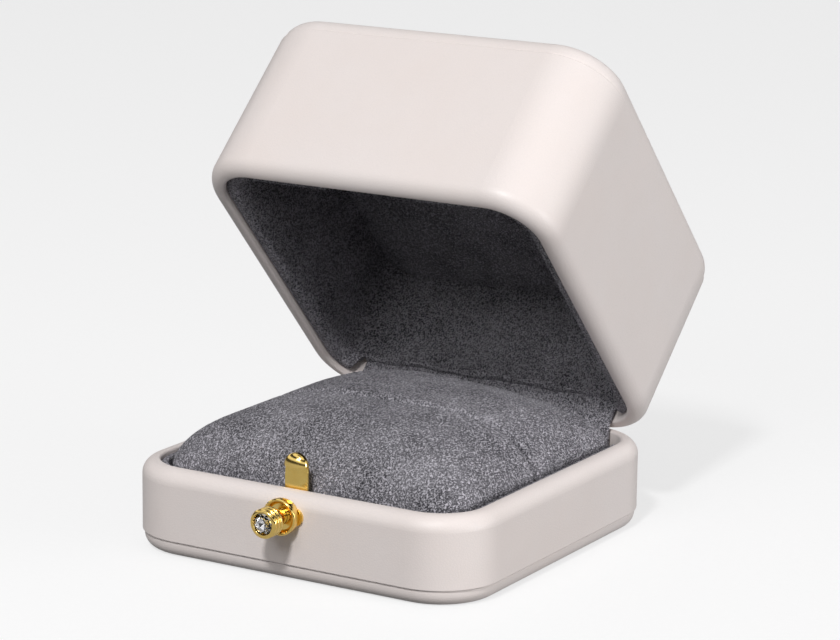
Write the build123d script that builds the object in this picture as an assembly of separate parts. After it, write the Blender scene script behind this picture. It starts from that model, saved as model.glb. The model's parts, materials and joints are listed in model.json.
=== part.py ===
from build123d import *
import os
from math import cos, degrees, hypot, radians, sin, tan

os.makedirs("parts", exist_ok=True)

# Clamshell ring box with a push button latch, modelled with its lid open.
# Frame: +X to the right of someone facing the button, -Y the front, +Z up.
# The origin is the centre of the underside. All sizes are in millimetres.

# ---------------------------------------------------------------- outer form
WIDTH = 65.0             # X, over the wrapped walls
DEPTH = 65.0             # Y, over the wrapped walls
CORNER_R = 10.5          # upright corners in plan
BASE_H = 14.5            # table to the rim of the base
BOTTOM_PLATE_H = 2.7     # table to the seam of the bottom plate
BOTTOM_INSET = 0.35      # bottom plate inside the walls
BOTTOM_EDGE_R = 2.2      # rounding of the bottom plate's lower edge
LID_H = 32.9             # rim of the lid to its top
TOP_PLATE_H = 3.5        # seam of the lid's top plate to its top
TOP_INSET = 0.25         # top plate inside the walls
TOP_EDGE_R = 3.1         # rounding of the top plate's upper edge
OPEN_ANGLE = 47.0        # degrees from closed to the open stop

# ------------------------------------------------------------------- walls
SKIN_T = 0.7             # wrapped leatherette
SHELL_T = 1.6            # moulded core
WALL_T = SHELL_T + 2 * SKIN_T
RIM_INNER_R = 0.4        # rounding of the rim's inner edge
RIM_FLAT = 0.1           # flat left on top of the rim
RIM_R = WALL_T - RIM_INNER_R - RIM_FLAT
SEAM_R = 0.25            # edges of walls and plates where they meet at a seam
FLOOR_T = 1.2            # floor of the base core
DECK_T = 1.6             # top deck of the lid core
TURN_IN = 6.0            # leatherette turned over the rim and down inside
TURN_UNDER = 6.0         # leatherette turned under the seam
BOARD_FIT = 0.1          # liner boards inside the wrapped walls

# ----------------------------------------------------------------- clearances
STOP_GAP = 0.12          # left between the two rims at the open stop
RUN_GAP = 0.05           # shafts and pins in their holes, radial
SCREW_GAP = 0.05         # fasteners in their holes, radial
SOFT_GAP = 0.3           # foam and fabric beside a piece that moves
OVERRUN = 1.0            # a cut runs this far past what it cuts

# ----------------------------------------------------------- derived levels
RIM_GAP = 2 * RIM_R * (1 / cos(radians(OPEN_ANGLE / 2)) - 1) + STOP_GAP
LID_Z = BASE_H + RIM_GAP                     # rim of the closed lid
LID_SEAM_Z = LID_Z + LID_H - TOP_PLATE_H     # seam of the lid's top plate
AXIS_Y = DEPTH / 2 - RIM_R                   # hinge axis over the rim rounding
AXIS_Z = BASE_H + RIM_GAP / 2
WALL_Y = DEPTH / 2 - WALL_T                  # inner face of front and back walls
FLOOR_Z = BOTTOM_PLATE_H + SKIN_T + FLOOR_T  # top of the base floor

# ------------------------------------------------------------- base furnishing
COLLAR_CARD_T = 0.8      # card collar inside the base walls
SUEDE_T = 0.4            # microsuede
COLLAR_DROP = 0.6        # collar below the rim
COLLAR_LATCH_W = 10.6    # break in the collar at the latch
COLLAR_BACK_Y = 6.0      # the collar stops this far from the back wall
CUSHION_GAP = 0.45       # cushion inside the collar
CUSHION_BOARD_T = 1.0
CUSHION_SIDE_H = 7.4     # upright side of the cushion above its board
CUSHION_CORNER_R = 6.0
CUSHION_COVER_T = 0.5
# the crown above the upright side: (rise, share of the way to the middle that it is drawn in)
CUSHION_CROWN = [(0.0, 0.0), (2.8, 0.025), (5.4, 0.101), (7.6, 0.231), (9.1, 0.418), (9.9, 0.63)]
CUSHION_REAR_DRAW = 0.35  # the rear is drawn in this much of what the front and sides are
SLIT_Y = -0.85           # ring slit, behind the front of the cushion's middle
SLIT_W = 0.6
SLIT_LIP_R = 1.4         # rounded lips of the slit

# ------------------------------------------------------------------ lid lining
LINER_CARD_T = 1.4
LINING_T = 0.5
LINER_DROP = 0.9         # liner above the lid's rim
BACK_EDGE_UP = 4.0       # lower edge of the back lining above the lid's rim
BACK_EDGE_Y = 9.0        # the raised edge starts this far from the back wall
BACK_CARD_UP = 9.2       # the card of the back panel starts this far up
BACK_PANEL_W = 40.0
CEILING_FOAM_T = 3.2     # foam between the deck and the ceiling board
CEILING_BOARD_T = 1.0
CEILING_GAP = 0.1        # upper edge of the liner to the ceiling pad
LATCH_RECESS_W = 16.5    # latch recess in the front liner
LATCH_RECESS_TAPER = 1.6
LATCH_RECESS_H = 6.6     # above the lid's rim

# -------------------------------------------------------------------- button
BUTTON_Z = 10.9
BUTTON_TRAVEL = 0.9
STEM_R = 1.2
NECK_R = 1.45
NECK_L = 1.45
HEAD_R = 2.4
HEAD_FLARE_L = 0.57      # taper from the neck to the head
HEAD_GROOVES = 2
GROOVE_DEPTH = 0.28
GROOVE_FLOOR_W = 0.21
GROOVE_SLOPE_W = 0.14    # each side of a groove, along the axis
RIB_W = 0.36             # rib behind each groove
BEZEL_W = 0.58           # front of the head, round the crystal
BEZEL_ROUND = 0.36
SLEEVE_R = 1.7
SLEEVE_LIP_R = 2.1
SLEEVE_LIP_T = 0.3
SLEEVE_FLANGE_R = 2.3
SLEEVE_FLANGE_T = 0.75
PUSHER_R = 1.6
PUSHER_T = 0.45
PUSHER_EDGE_T = 0.3      # upright edge of the pusher, before its domed end
PUSHER_TIP_R = 0.55
BACKPLATE_R = 2.7        # round middle of the back plate, behind the rosette
BACKPLATE_W = 7.0        # over its two ears
BACKPLATE_EAR_H = 2.8
BACKPLATE_T = 0.4
ROSETTE_R = 3.0
ROSETTE_T = 1.5
ROSETTE_FLOOR_T = 0.4
ROSETTE_RIM = 0.45
CRYSTAL_R = 1.7
CRYSTAL_TABLE_R = 1.0
CRYSTAL_CROWN_H = 0.45
CRYSTAL_DEPTH = 1.2
CRYSTAL_CULET_R = 0.12
CRYSTAL_SIDES = 12

# --------------------------------------------------------------------- latch
TONGUE_W = 4.3
TONGUE_T = 0.5
TONGUE_GAP = 0.2         # tongue behind the front wall
TONGUE_TOP = 20.2
CATCH_OUT = 1.1          # how far the half dome stands forward
ROOT_R = 0.4             # rolled root of the tongue
ANCHOR_W = 9.0
ANCHOR_D = 1.6
ANCHOR_H = 1.7
PIVOT_UP = 0.9           # tongue pivot above the base floor
RIVET_R = 0.45
RIVET_DEPTH = 0.9
RIVET_SPACING = 6.6
STRIKE_W = 12.0
STRIKE_H = 4.6
STRIKE_T = 0.5
STRIKE_WINDOW_W = 5.0
STRIKE_WINDOW_H = 2.7
STRIKE_LIP = 0.25        # window edge under the catch's ledge
POCKET_DEPTH = 1.4       # pocket behind the window

# --------------------------------------------------------------------- hinge
HINGE_L = 36.0
KNUCKLES = 5
KNUCKLE_R = 1.2
KNUCKLE_GAP = 0.15       # between neighbouring knuckles
HINGE_PIN_R = 0.6
LEAF_T = 0.5
LEAF_H = 7.0             # leaf beyond the hinge axis
POCKET_R = 1.5           # hinge pocket in both rims
SPRING_W = 5.2           # break in the middle knuckle for the spring
SPRING_R = 1.22
SPRING_WIRE_R = 0.2
SPRING_TURNS = 4
SPRING_LEG = 3.2
FLAP_PAST = 3.0          # flap past the straight part of the back wall, each side
FLAP_T = 0.4
FLAP_OFFSET = 1.75       # middle of the flap in front of the hinge axis
FLAP_DOWN = 6.0          # flap below the hinge axis
FLAP_UP = 8.4            # flap above the hinge axis, along the lid
HINGE_SCREW_X = 13.5
HINGE_SCREW_R = 0.5
SCREW_HEIGHTS = (0.45, 0.82)  # places of the screws, as shares of a leaf's height
SCREW_HEAD_R = 0.9
SCREW_HEAD_T = 0.3
SCREW_L = 1.9


def prism(inset, z_low, z_high):
    """Upright block with the box's plan, drawn in by inset."""
    plan = RectangleRounded(WIDTH - 2 * inset, DEPTH - 2 * inset, CORNER_R - inset)
    return extrude(Pos(0, 0, z_low) * plan, z_high - z_low)


def box(x, y, z):
    """Block from three (low, high) pairs."""
    centre = Pos((x[0] + x[1]) / 2, (y[0] + y[1]) / 2, (z[0] + z[1]) / 2)
    return centre * Box(x[1] - x[0], y[1] - y[0], z[1] - z[0])


def end_edges(solid, top):
    """The loop of edges round the top or bottom face."""
    faces = solid.faces().sort_by(Axis.Z)
    return (faces[-1] if top else faces[0]).edges()


def rounded_prism(inset, z_low, z_high, radius, top, far_radius=0.0):
    """Prism with its upper or lower outer edge rounded, and the far one by far_radius."""
    solid = fillet(end_edges(prism(inset, z_low, z_high), top), radius)
    return fillet(end_edges(solid, not top), far_radius) if far_radius else solid


def y_rod(radius, y_low, y_high, x=0.0, z=0.0):
    """Round bar along Y."""
    return Pos(x, (y_low + y_high) / 2, z) * Rot(90, 0, 0) * Cylinder(radius, y_high - y_low)


def x_rod(radius, x_low, x_high, y, z):
    """Round bar along X."""
    return Pos((x_low + x_high) / 2, y, z) * Rot(0, 90, 0) * Cylinder(radius, x_high - x_low)


def z_rod(radius, x, y, z_low, z_high):
    """Round bar along Z."""
    return Pos(x, y, (z_low + z_high) / 2) * Cylinder(radius, z_high - z_low)


def turned(profile, z):
    """Solid of revolution about a Y axis at height z, from (y, radius) points."""
    face = make_face(Polyline([(r, y, 0) for y, r in profile], close=True))
    return Pos(0, 0, z) * revolve(face, Axis.Y)


def extruded_yz(face_points, width):
    """Prism along X, centred on X = 0, from (y, z) points."""
    face = make_face(Polyline([(0, y, z) for y, z in face_points], close=True))
    return extrude(face, width / 2, dir=(1, 0, 0), both=True)


def opened(shape):
    """A lid piece, drawn closed, turned about the hinge to the open stop."""
    return shape.rotate(Axis((0, AXIS_Y, AXIS_Z), (1, 0, 0)), -OPEN_ANGLE)


def save(name, shape):
    export_step(Compound(children=list(shape.solids())), f"parts/{name}.step")


# --------------------------------------------------- wrapped walls of one half
def wall_core(seam_z, rim_z, rim_up):
    """Moulded core of one half, open at its rim, without floor or deck."""
    sign = 1 if rim_up else -1
    low, high = sorted((seam_z + sign * SKIN_T, rim_z - sign * SKIN_T))
    outer = rounded_prism(SKIN_T, low, high, RIM_R - SKIN_T, rim_up)
    core = outer - prism(WALL_T - SKIN_T, low, high)
    turn_end = rim_z - sign * TURN_IN
    low, high = sorted((seam_z + sign * SKIN_T, turn_end))
    return core + (prism(WALL_T - SKIN_T, low, high) - prism(WALL_T, low, high))


def wall_wrap(seam_z, rim_z, rim_up, core):
    """Leatherette round a core, turned in at the rim and under at the seam."""
    sign = 1 if rim_up else -1
    low, high = sorted((seam_z, rim_z))
    wall = rounded_prism(0, low, high, RIM_R, rim_up, SEAM_R) - prism(WALL_T, low, high)
    inner = [e for e in end_edges(wall, rim_up)
             if max(abs(e.center().X), abs(e.center().Y)) < WIDTH / 2 - WALL_T + RIM_FLAT]
    wall = fillet(inner, RIM_INNER_R)
    low, high = sorted((seam_z, seam_z + sign * SKIN_T))
    under = prism(WALL_T, low, high) - prism(TURN_UNDER, low, high)
    return wall + under - core


def pierced(shape, cutters):
    """A shape less every cutter."""
    for cutter in cutters:
        shape = shape - cutter
    return shape


# ------------------------------------------------------------ shared cut-outs
pocket_x = (-HINGE_L / 2 - KNUCKLE_GAP, HINGE_L / 2 + KNUCKLE_GAP)
pocket_y = (WALL_Y - OVERRUN, AXIS_Y)
hinge_pocket = x_rod(POCKET_R, *pocket_x, AXIS_Y, AXIS_Z)
base_pocket = hinge_pocket + box(pocket_x, pocket_y, (AXIS_Z - POCKET_R, AXIS_Z))
lid_pocket = hinge_pocket + box(pocket_x, pocket_y, (AXIS_Z, AXIS_Z + POCKET_R))


def hinge_screw(x, z, gap=0.0):
    """Countersunk screw through a leaf into the back wall, head to the inside."""
    face_y = WALL_Y - LEAF_T
    shank = y_rod(HINGE_SCREW_R + gap, face_y, face_y + SCREW_L, x, z)
    head = turned([(face_y, 0), (face_y, SCREW_HEAD_R + gap),
                   (face_y + SCREW_HEAD_T + gap, HINGE_SCREW_R), (face_y + SCREW_HEAD_T + gap, 0)], z)
    return shank + Pos(x, 0, 0) * head


def hinge_screws(side, gap=0.0):
    """The screws of one leaf; side is -1 for the base and 1 for the lid."""
    return [hinge_screw(x, AXIS_Z + side * LEAF_H * share, gap)
            for x in (-HINGE_SCREW_X, HINGE_SCREW_X) for share in SCREW_HEIGHTS]


button_hole = y_rod(SLEEVE_R + SCREW_GAP, -DEPTH / 2 - OVERRUN, -WALL_Y + OVERRUN, z=BUTTON_Z)
flange_seat = y_rod(SLEEVE_FLANGE_R + SCREW_GAP, -WALL_Y - SLEEVE_FLANGE_T, -WALL_Y + OVERRUN, z=BUTTON_Z)

# ------------------------------------------------------------------------ base
base_core = wall_core(BOTTOM_PLATE_H, BASE_H, True)
base_core = base_core + prism(WALL_T - SKIN_T, BOTTOM_PLATE_H + SKIN_T, FLOOR_Z)
anchor_y = -WALL_Y + ANCHOR_D / 2
rivet_xs = (-RIVET_SPACING / 2, RIVET_SPACING / 2)
rivet_holes = [z_rod(RIVET_R + SCREW_GAP, x, anchor_y, FLOOR_Z - RIVET_DEPTH, FLOOR_Z + OVERRUN)
               for x in rivet_xs]
base_cuts = [base_pocket, button_hole, flange_seat] + hinge_screws(-1, SCREW_GAP)
save("base_shell", pierced(base_core, base_cuts + rivet_holes))
save("base_wrap", pierced(wall_wrap(BOTTOM_PLATE_H, BASE_H, True, base_core), base_cuts))

bottom_outer = rounded_prism(BOTTOM_INSET, 0, BOTTOM_PLATE_H, BOTTOM_EDGE_R, False, SEAM_R)
bottom_board = rounded_prism(BOTTOM_INSET + SKIN_T, SKIN_T, BOTTOM_PLATE_H, BOTTOM_EDGE_R - SKIN_T, False)
save("bottom_board", bottom_board)
save("bottom_wrap", bottom_outer - bottom_board)

# ---------------------------------------------------------------- base collar
collar_outer = WALL_T + BOARD_FIT
collar_top = BASE_H - COLLAR_DROP
collar_back = box((-WIDTH, WIDTH), (WALL_Y - COLLAR_BACK_Y, DEPTH), (0, BASE_H))
collar_latch = box((-COLLAR_LATCH_W / 2, COLLAR_LATCH_W / 2), (-DEPTH, -DEPTH / 4), (0, BASE_H))
collar_card = prism(collar_outer, FLOOR_Z, collar_top - SUEDE_T)
collar_card = collar_card - prism(collar_outer + COLLAR_CARD_T, FLOOR_Z, collar_top)
collar_all = prism(collar_outer, FLOOR_Z, collar_top)
collar_all = collar_all - prism(collar_outer + COLLAR_CARD_T + SUEDE_T, FLOOR_Z, collar_top)
save("base_liner_card", collar_card - collar_back - collar_latch)
save("base_lining", collar_all - collar_card - collar_back - collar_latch)

# -------------------------------------------------------------------- cushion
cushion_inset = collar_outer + COLLAR_CARD_T + SUEDE_T + CUSHION_GAP
cushion_w, cushion_d = WIDTH - 2 * cushion_inset, DEPTH - 2 * cushion_inset
board_top = FLOOR_Z + CUSHION_BOARD_T
side_top = board_top + CUSHION_SIDE_H
crown_top = side_top + CUSHION_CROWN[-1][0]


def cushion_plan(share, skin, z):
    """Plan of the cushion at height z, drawn in by a share of the way to the middle and a skin."""
    width = (1 - share) * cushion_w - 2 * skin
    front, rear = (cushion_d / 2 * (1 - drawn * share) - skin for drawn in (1, CUSHION_REAR_DRAW))
    return Pos(0, (rear - front) / 2, z) * RectangleRounded(width, front + rear, CUSHION_CORNER_R - skin)


def crowned_block(skin):
    """The cushion's crowned block, skin thinner all round."""
    side = extrude(cushion_plan(0, skin, board_top), CUSHION_SIDE_H - skin)
    crown = loft([cushion_plan(share, skin, side_top + rise - skin) for rise, share in CUSHION_CROWN])
    return side + crown


def slit_cutter(skin):
    """The ring slit with its rounded lips, skin wider on each side."""
    half = SLIT_W / 2 + skin
    radius = SLIT_LIP_R - skin
    top = crown_top + CUSHION_BOARD_T
    lip = crown_top - skin
    left = RadiusArc((SLIT_Y - half - radius, lip), (SLIT_Y - half, lip - radius), radius)
    right = RadiusArc((SLIT_Y + half, lip - radius), (SLIT_Y + half + radius, lip), radius)
    foot = ((SLIT_Y - half, FLOOR_Z), (SLIT_Y + half, FLOOR_Z))
    outline = [
        left, Line(left @ 1, foot[0]), Line(foot[0], foot[1]), Line(foot[1], right @ 0), right,
        Line(right @ 1, (SLIT_Y + half + radius, top)),
        Line((SLIT_Y + half + radius, top), (SLIT_Y - half - radius, top)),
        Line((SLIT_Y - half - radius, top), left @ 0),
    ]
    face = Plane.YZ * make_face(outline)
    return extrude(face, WIDTH / 2, both=True)


pivot_y = -WALL_Y + TONGUE_GAP + TONGUE_T / 2
pivot_z = FLOOR_Z + PIVOT_UP
swing = BUTTON_TRAVEL / (BUTTON_Z - pivot_z)
tongue_back = pivot_y + TONGUE_T / 2 + SOFT_GAP


def latch_room(skin):
    """Room in the front of the cushion for the anchor and the pressed tongue."""
    half = ANCHOR_W / 2 + SOFT_GAP + skin
    anchor_room = box((-half, half), (-DEPTH / 2, -WALL_Y + ANCHOR_D + SOFT_GAP + skin),
                      (FLOOR_Z, FLOOR_Z + ANCHOR_H + SOFT_GAP + skin))
    reach = tongue_back + skin + (crown_top - pivot_z) * tan(swing)
    wedge = extruded_yz([(-DEPTH / 2, FLOOR_Z), (tongue_back + skin, FLOOR_Z), (tongue_back + skin, pivot_z),
                         (reach, crown_top), (-DEPTH / 2, crown_top)], TONGUE_W + 2 * (SOFT_GAP + skin))
    return anchor_room + wedge


cover_block = crowned_block(0) - slit_cutter(0) - latch_room(0)
foam_block = crowned_block(CUSHION_COVER_T) - slit_cutter(CUSHION_COVER_T) - latch_room(CUSHION_COVER_T)
halves = {"front": box((-WIDTH, WIDTH), (-DEPTH, SLIT_Y), (0, LID_Z + LID_H)),
          "rear": box((-WIDTH, WIDTH), (SLIT_Y, DEPTH), (0, LID_Z + LID_H))}
for half_name, half_space in halves.items():
    save(f"cushion_foam_{half_name}", foam_block & half_space)
    save(f"cushion_cover_{half_name}", (cover_block - foam_block) & half_space)
cushion_board = extrude(cushion_plan(0, 0, FLOOR_Z), CUSHION_BOARD_T) - latch_room(0)
save("cushion_board", cushion_board)

# ------------------------------------------------------------------------- lid
lid_core = wall_core(LID_SEAM_Z, LID_Z, False)
deck_low, deck_top = LID_SEAM_Z - SKIN_T - DECK_T, LID_SEAM_Z - SKIN_T
lid_core = lid_core + prism(WALL_T - SKIN_T, deck_low, deck_top)

ledge_z = TONGUE_TOP - TONGUE_W / 2
window_z = (ledge_z - STRIKE_LIP, ledge_z - STRIKE_LIP + STRIKE_WINDOW_H)
window_x = (-STRIKE_WINDOW_W / 2, STRIKE_WINDOW_W / 2)
strike_mid = (window_z[0] + window_z[1]) / 2
strike_z = (strike_mid - STRIKE_H / 2, strike_mid + STRIKE_H / 2)
strike_screw_x = (STRIKE_W / 2 + STRIKE_WINDOW_W / 2) / 2
catch_pocket = box(window_x, (-WALL_Y - POCKET_DEPTH, -WALL_Y + OVERRUN), window_z)
plate_seat = box((-STRIKE_W / 2, STRIKE_W / 2), (-WALL_Y - STRIKE_T, -WALL_Y + OVERRUN), strike_z)


def strike_screws(gap=0.0):
    """Two screws through the strike plate into the front wall of the lid."""
    return [y_rod(HINGE_SCREW_R + gap, -WALL_Y - SCREW_L, -WALL_Y, x, strike_mid)
            for x in (-strike_screw_x, strike_screw_x)]


lid_cuts = [lid_pocket, catch_pocket, plate_seat] + hinge_screws(1, SCREW_GAP) + strike_screws(SCREW_GAP)
save("lid_shell", opened(pierced(lid_core, lid_cuts)))
save("lid_wrap", opened(pierced(wall_wrap(LID_SEAM_Z, LID_Z, False, lid_core), lid_cuts)))

lid_top = LID_Z + LID_H
top_outer = rounded_prism(TOP_INSET, LID_SEAM_Z, lid_top, TOP_EDGE_R, True, SEAM_R)
top_board = rounded_prism(TOP_INSET + SKIN_T, LID_SEAM_Z, lid_top - SKIN_T, TOP_EDGE_R - SKIN_T, True)
save("lid_top_board", opened(top_board))
save("lid_top_wrap", opened(top_outer - top_board))

strike_plate = box((-STRIKE_W / 2, STRIKE_W / 2), (-WALL_Y - STRIKE_T, -WALL_Y), strike_z)
strike_plate = strike_plate - box(window_x, (-DEPTH, 0), window_z)
save("strike_plate", opened(pierced(strike_plate, strike_screws(SCREW_GAP))))
save("strike_screws", opened(Compound(children=strike_screws())))

# ----------------------------------------------------------------- lid lining
liner_outer = WALL_T + BOARD_FIT
board_high = deck_low - CEILING_FOAM_T
board_low = board_high - CEILING_BOARD_T
ceiling_z = board_low - LINING_T
liner_low, liner_high = LID_Z + LINER_DROP, ceiling_z - CEILING_GAP
liner_card = prism(liner_outer, liner_low + LINING_T, liner_high)
liner_card = liner_card - prism(liner_outer + LINER_CARD_T, liner_low, liner_high)
liner_all = prism(liner_outer, liner_low, liner_high)
liner_all = liner_all - prism(liner_outer + LINER_CARD_T + LINING_T, liner_low, liner_high)
back_edge = box((-WIDTH, WIDTH), (WALL_Y - BACK_EDGE_Y, DEPTH), (0, LID_Z + BACK_EDGE_UP))
back_space = box((-BACK_PANEL_W / 2, BACK_PANEL_W / 2), (0, DEPTH), (0, lid_top))
flap_half = WIDTH / 2 - CORNER_R + FLAP_PAST
card_edge = box((-flap_half - SOFT_GAP, flap_half + SOFT_GAP), (WALL_Y - BACK_EDGE_Y, DEPTH),
                (0, LID_Z + BACK_CARD_UP))
card_edge = card_edge & (prism(liner_outer, 0, lid_top) - prism(liner_outer + LINER_CARD_T, 0, lid_top))
recess_top = LATCH_RECESS_W / 2 - LATCH_RECESS_TAPER
recess_points = [(-LATCH_RECESS_W / 2, LID_Z), (LATCH_RECESS_W / 2, LID_Z),
                 (recess_top, LID_Z + LATCH_RECESS_H), (-recess_top, LID_Z + LATCH_RECESS_H)]
recess_face = make_face(Polyline([(x, 0, z) for x, z in recess_points], close=True))
latch_recess = extrude(recess_face, DEPTH, dir=(0, -1, 0))
card_cut = liner_card - back_edge - latch_recess - card_edge
lining_cut = liner_all - liner_card - back_edge - latch_recess - card_edge
save("lid_liner_card", opened(card_cut - back_space))
save("lid_lining", opened(lining_cut - back_space))
save("lid_back_card", opened(card_cut & back_space))
save("lid_back_lining", opened(lining_cut & back_space))

ceiling_board = prism(liner_outer + LINING_T, board_low, board_high)
save("lid_ceiling_board", opened(ceiling_board))
save("lid_ceiling_cover", opened(prism(liner_outer, ceiling_z, board_high) - ceiling_board))
save("lid_ceiling_foam", opened(prism(liner_outer, board_high, deck_low)))

# ----------------------------------------------------------------------- hinge
knuckle_pitch = HINGE_L / KNUCKLES


def hinge_leaf(side):
    """Leaf with its knuckles; side is -1 for the base leaf and 1 for the lid leaf."""
    far = AXIS_Z + side * LEAF_H
    low, high = sorted((AXIS_Z, far))
    leaf = box((-HINGE_L / 2, HINGE_L / 2), (WALL_Y - LEAF_T, WALL_Y), (low, high))
    leaf = leaf - x_rod(POCKET_R, -HINGE_L, HINGE_L, AXIS_Y, AXIS_Z)
    for index in range(KNUCKLES):
        if (index % 2 == 0) != (side < 0):
            continue
        start = -HINGE_L / 2 + index * knuckle_pitch
        start_x = start + (KNUCKLE_GAP if index else 0)
        end_x = start + knuckle_pitch - (KNUCKLE_GAP if index < KNUCKLES - 1 else 0)
        knuckle = x_rod(KNUCKLE_R, start_x, end_x, AXIS_Y, AXIS_Z)
        neck_z = sorted((AXIS_Z, AXIS_Z + side * (POCKET_R + LEAF_T)))
        neck = box((start_x, end_x), (WALL_Y - LEAF_T, WALL_Y), neck_z)
        if index == KNUCKLES // 2:
            gap = box((-SPRING_W / 2, SPRING_W / 2), (0, DEPTH), (AXIS_Z - POCKET_R, AXIS_Z + POCKET_R))
            knuckle = knuckle - gap
            neck = neck - gap
        leaf = leaf + knuckle + neck
    bore = x_rod(HINGE_PIN_R + RUN_GAP, -HINGE_L, HINGE_L, AXIS_Y, AXIS_Z)
    return pierced(leaf, [bore] + hinge_screws(side, SCREW_GAP))


save("hinge_leaf_base", hinge_leaf(-1))
save("hinge_leaf_lid", opened(hinge_leaf(1)))
save("hinge_screws_base", Compound(children=hinge_screws(-1)))
save("hinge_screws_lid", opened(Compound(children=hinge_screws(1))))
pin_end = HINGE_L / 2 + KNUCKLE_GAP / 2
save("hinge_pin", x_rod(HINGE_PIN_R, -pin_end, pin_end, AXIS_Y, AXIS_Z))

# torsion spring round the pin: one leg along the opened lid leaf, the other down the base leaf
spring_pitch = (SPRING_W - 4 * SPRING_WIRE_R) / (SPRING_TURNS + 1)
coil_length = (SPRING_TURNS + OPEN_ANGLE / 360) * spring_pitch
coil = Helix(spring_pitch, coil_length, SPRING_R)
coil_wire = sweep(Plane(origin=coil @ 0, z_dir=coil % 0) * Circle(SPRING_WIRE_R), path=coil, is_frenet=True)
legs = []
for end, heading in ((coil @ 0, -(coil % 0)), (coil @ 1, coil % 1)):
    legs.append(extrude(Plane(origin=end, z_dir=heading) * Circle(SPRING_WIRE_R), SPRING_LEG))
spring = coil_wire + legs[0] + legs[1]
lid_way = (sin(radians(OPEN_ANGLE)), cos(radians(OPEN_ANGLE)))
coil_plane = Plane(origin=(-coil_length / 2, AXIS_Y, AXIS_Z),
                   x_dir=(0, -lid_way[1], lid_way[0]), z_dir=(1, 0, 0))
save("hinge_spring", coil_plane * spring)
print("spring gap between turns", round(spring_pitch - 2 * SPRING_WIRE_R, 3))

# fabric flap over the hinge, in one strip from the base to the opened lid
flap_radii = (FLAP_OFFSET - FLAP_T / 2, FLAP_OFFSET + FLAP_T / 2)


def flap_side(radius):
    """One face of the flap in section: straight, round the hinge, straight."""
    down = (AXIS_Y - radius, AXIS_Z - FLAP_DOWN)
    start = (AXIS_Y - radius, AXIS_Z)
    half = radians(OPEN_ANGLE / 2)
    middle = (AXIS_Y - radius * cos(half), AXIS_Z + radius * sin(half))
    end = (AXIS_Y - radius * lid_way[1], AXIS_Z + radius * lid_way[0])
    up = (end[0] + FLAP_UP * lid_way[0], end[1] + FLAP_UP * lid_way[1])
    return down, start, middle, end, up


inner, outer = flap_side(flap_radii[0]), flap_side(flap_radii[1])
flap_outline = [
    Line(inner[0], inner[1]), ThreePointArc(inner[1], inner[2], inner[3]), Line(inner[3], inner[4]),
    Line(inner[4], outer[4]), Line(outer[4], outer[3]),
    ThreePointArc(outer[3], outer[2], outer[1]), Line(outer[1], outer[0]), Line(outer[0], inner[0])]
save("hinge_flap", extrude(Plane.YZ * make_face(flap_outline), flap_half, both=True))

# ---------------------------------------------------------------------- button
plate_front = -DEPTH / 2 - BACKPLATE_T
rosette_front = plate_front - ROSETTE_T
cup_floor = plate_front - ROSETTE_FLOOR_T
sleeve_front = cup_floor - SLEEVE_LIP_T
backplate_face = Plane.XZ * (SlotOverall(BACKPLATE_W, BACKPLATE_EAR_H) + Circle(BACKPLATE_R))
backplate = Pos(0, -DEPTH / 2, BUTTON_Z) * extrude(backplate_face, BACKPLATE_T)
save("button_backplate", backplate - y_rod(SLEEVE_R + SCREW_GAP, -DEPTH, 0, z=BUTTON_Z))

rosette_bore = SLEEVE_R + SCREW_GAP
cup_r = ROSETTE_R - ROSETTE_RIM
save("button_rosette", turned([
    (plate_front, rosette_bore), (plate_front, ROSETTE_R - ROSETTE_RIM / 2),
    (plate_front - ROSETTE_RIM / 2, ROSETTE_R), (rosette_front + ROSETTE_RIM / 2, ROSETTE_R),
    (rosette_front, ROSETTE_R - ROSETTE_RIM / 2), (rosette_front + ROSETTE_RIM / 2, cup_r),
    (cup_floor, SLEEVE_LIP_R + SCREW_GAP), (cup_floor, rosette_bore)], BUTTON_Z))

sleeve_bore = STEM_R + RUN_GAP
counterbore_y = -WALL_Y - PUSHER_T - RUN_GAP
flange_y = -WALL_Y - SLEEVE_FLANGE_T
save("button_sleeve", turned([
    (sleeve_front, sleeve_bore), (sleeve_front, SLEEVE_LIP_R), (cup_floor, SLEEVE_LIP_R),
    (cup_floor, SLEEVE_R), (flange_y, SLEEVE_R), (flange_y, SLEEVE_FLANGE_R),
    (-WALL_Y, SLEEVE_FLANGE_R), (-WALL_Y, PUSHER_R + RUN_GAP), (counterbore_y, PUSHER_R + RUN_GAP),
    (counterbore_y, sleeve_bore)], BUTTON_Z))

neck_end = sleeve_front - BUTTON_TRAVEL - RUN_GAP
head_back = neck_end - NECK_L
pusher_y = counterbore_y + RUN_GAP
knob_profile = [
    (pusher_y, 0), (pusher_y, STEM_R), (neck_end, STEM_R), (neck_end, NECK_R), (head_back, NECK_R)]
rib_y = head_back - HEAD_FLARE_L
knob_profile.append((rib_y, HEAD_R))
groove_r = HEAD_R - GROOVE_DEPTH
for _ in range(HEAD_GROOVES):
    groove_y = rib_y - RIB_W
    floor_y = (groove_y - GROOVE_SLOPE_W, groove_y - GROOVE_SLOPE_W - GROOVE_FLOOR_W)
    rib_y = floor_y[1] - GROOVE_SLOPE_W
    knob_profile += [(groove_y, HEAD_R), (floor_y[0], groove_r), (floor_y[1], groove_r), (rib_y, HEAD_R)]
head_front = rib_y - BEZEL_W
girdle_y = head_front + CRYSTAL_CROWN_H
culet_y = head_front + CRYSTAL_DEPTH
seat_r = CRYSTAL_R + RUN_GAP
knob_profile += [
    (head_front + BEZEL_ROUND, HEAD_R), (head_front + BEZEL_ROUND / 3, HEAD_R - BEZEL_ROUND / 2),
    (head_front, HEAD_R - BEZEL_ROUND), (head_front, seat_r), (girdle_y + RUN_GAP, seat_r),
    (culet_y + RUN_GAP, CRYSTAL_CULET_R + RUN_GAP), (culet_y + RUN_GAP, 0)]
save("button_knob", turned(knob_profile, BUTTON_Z))


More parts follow.
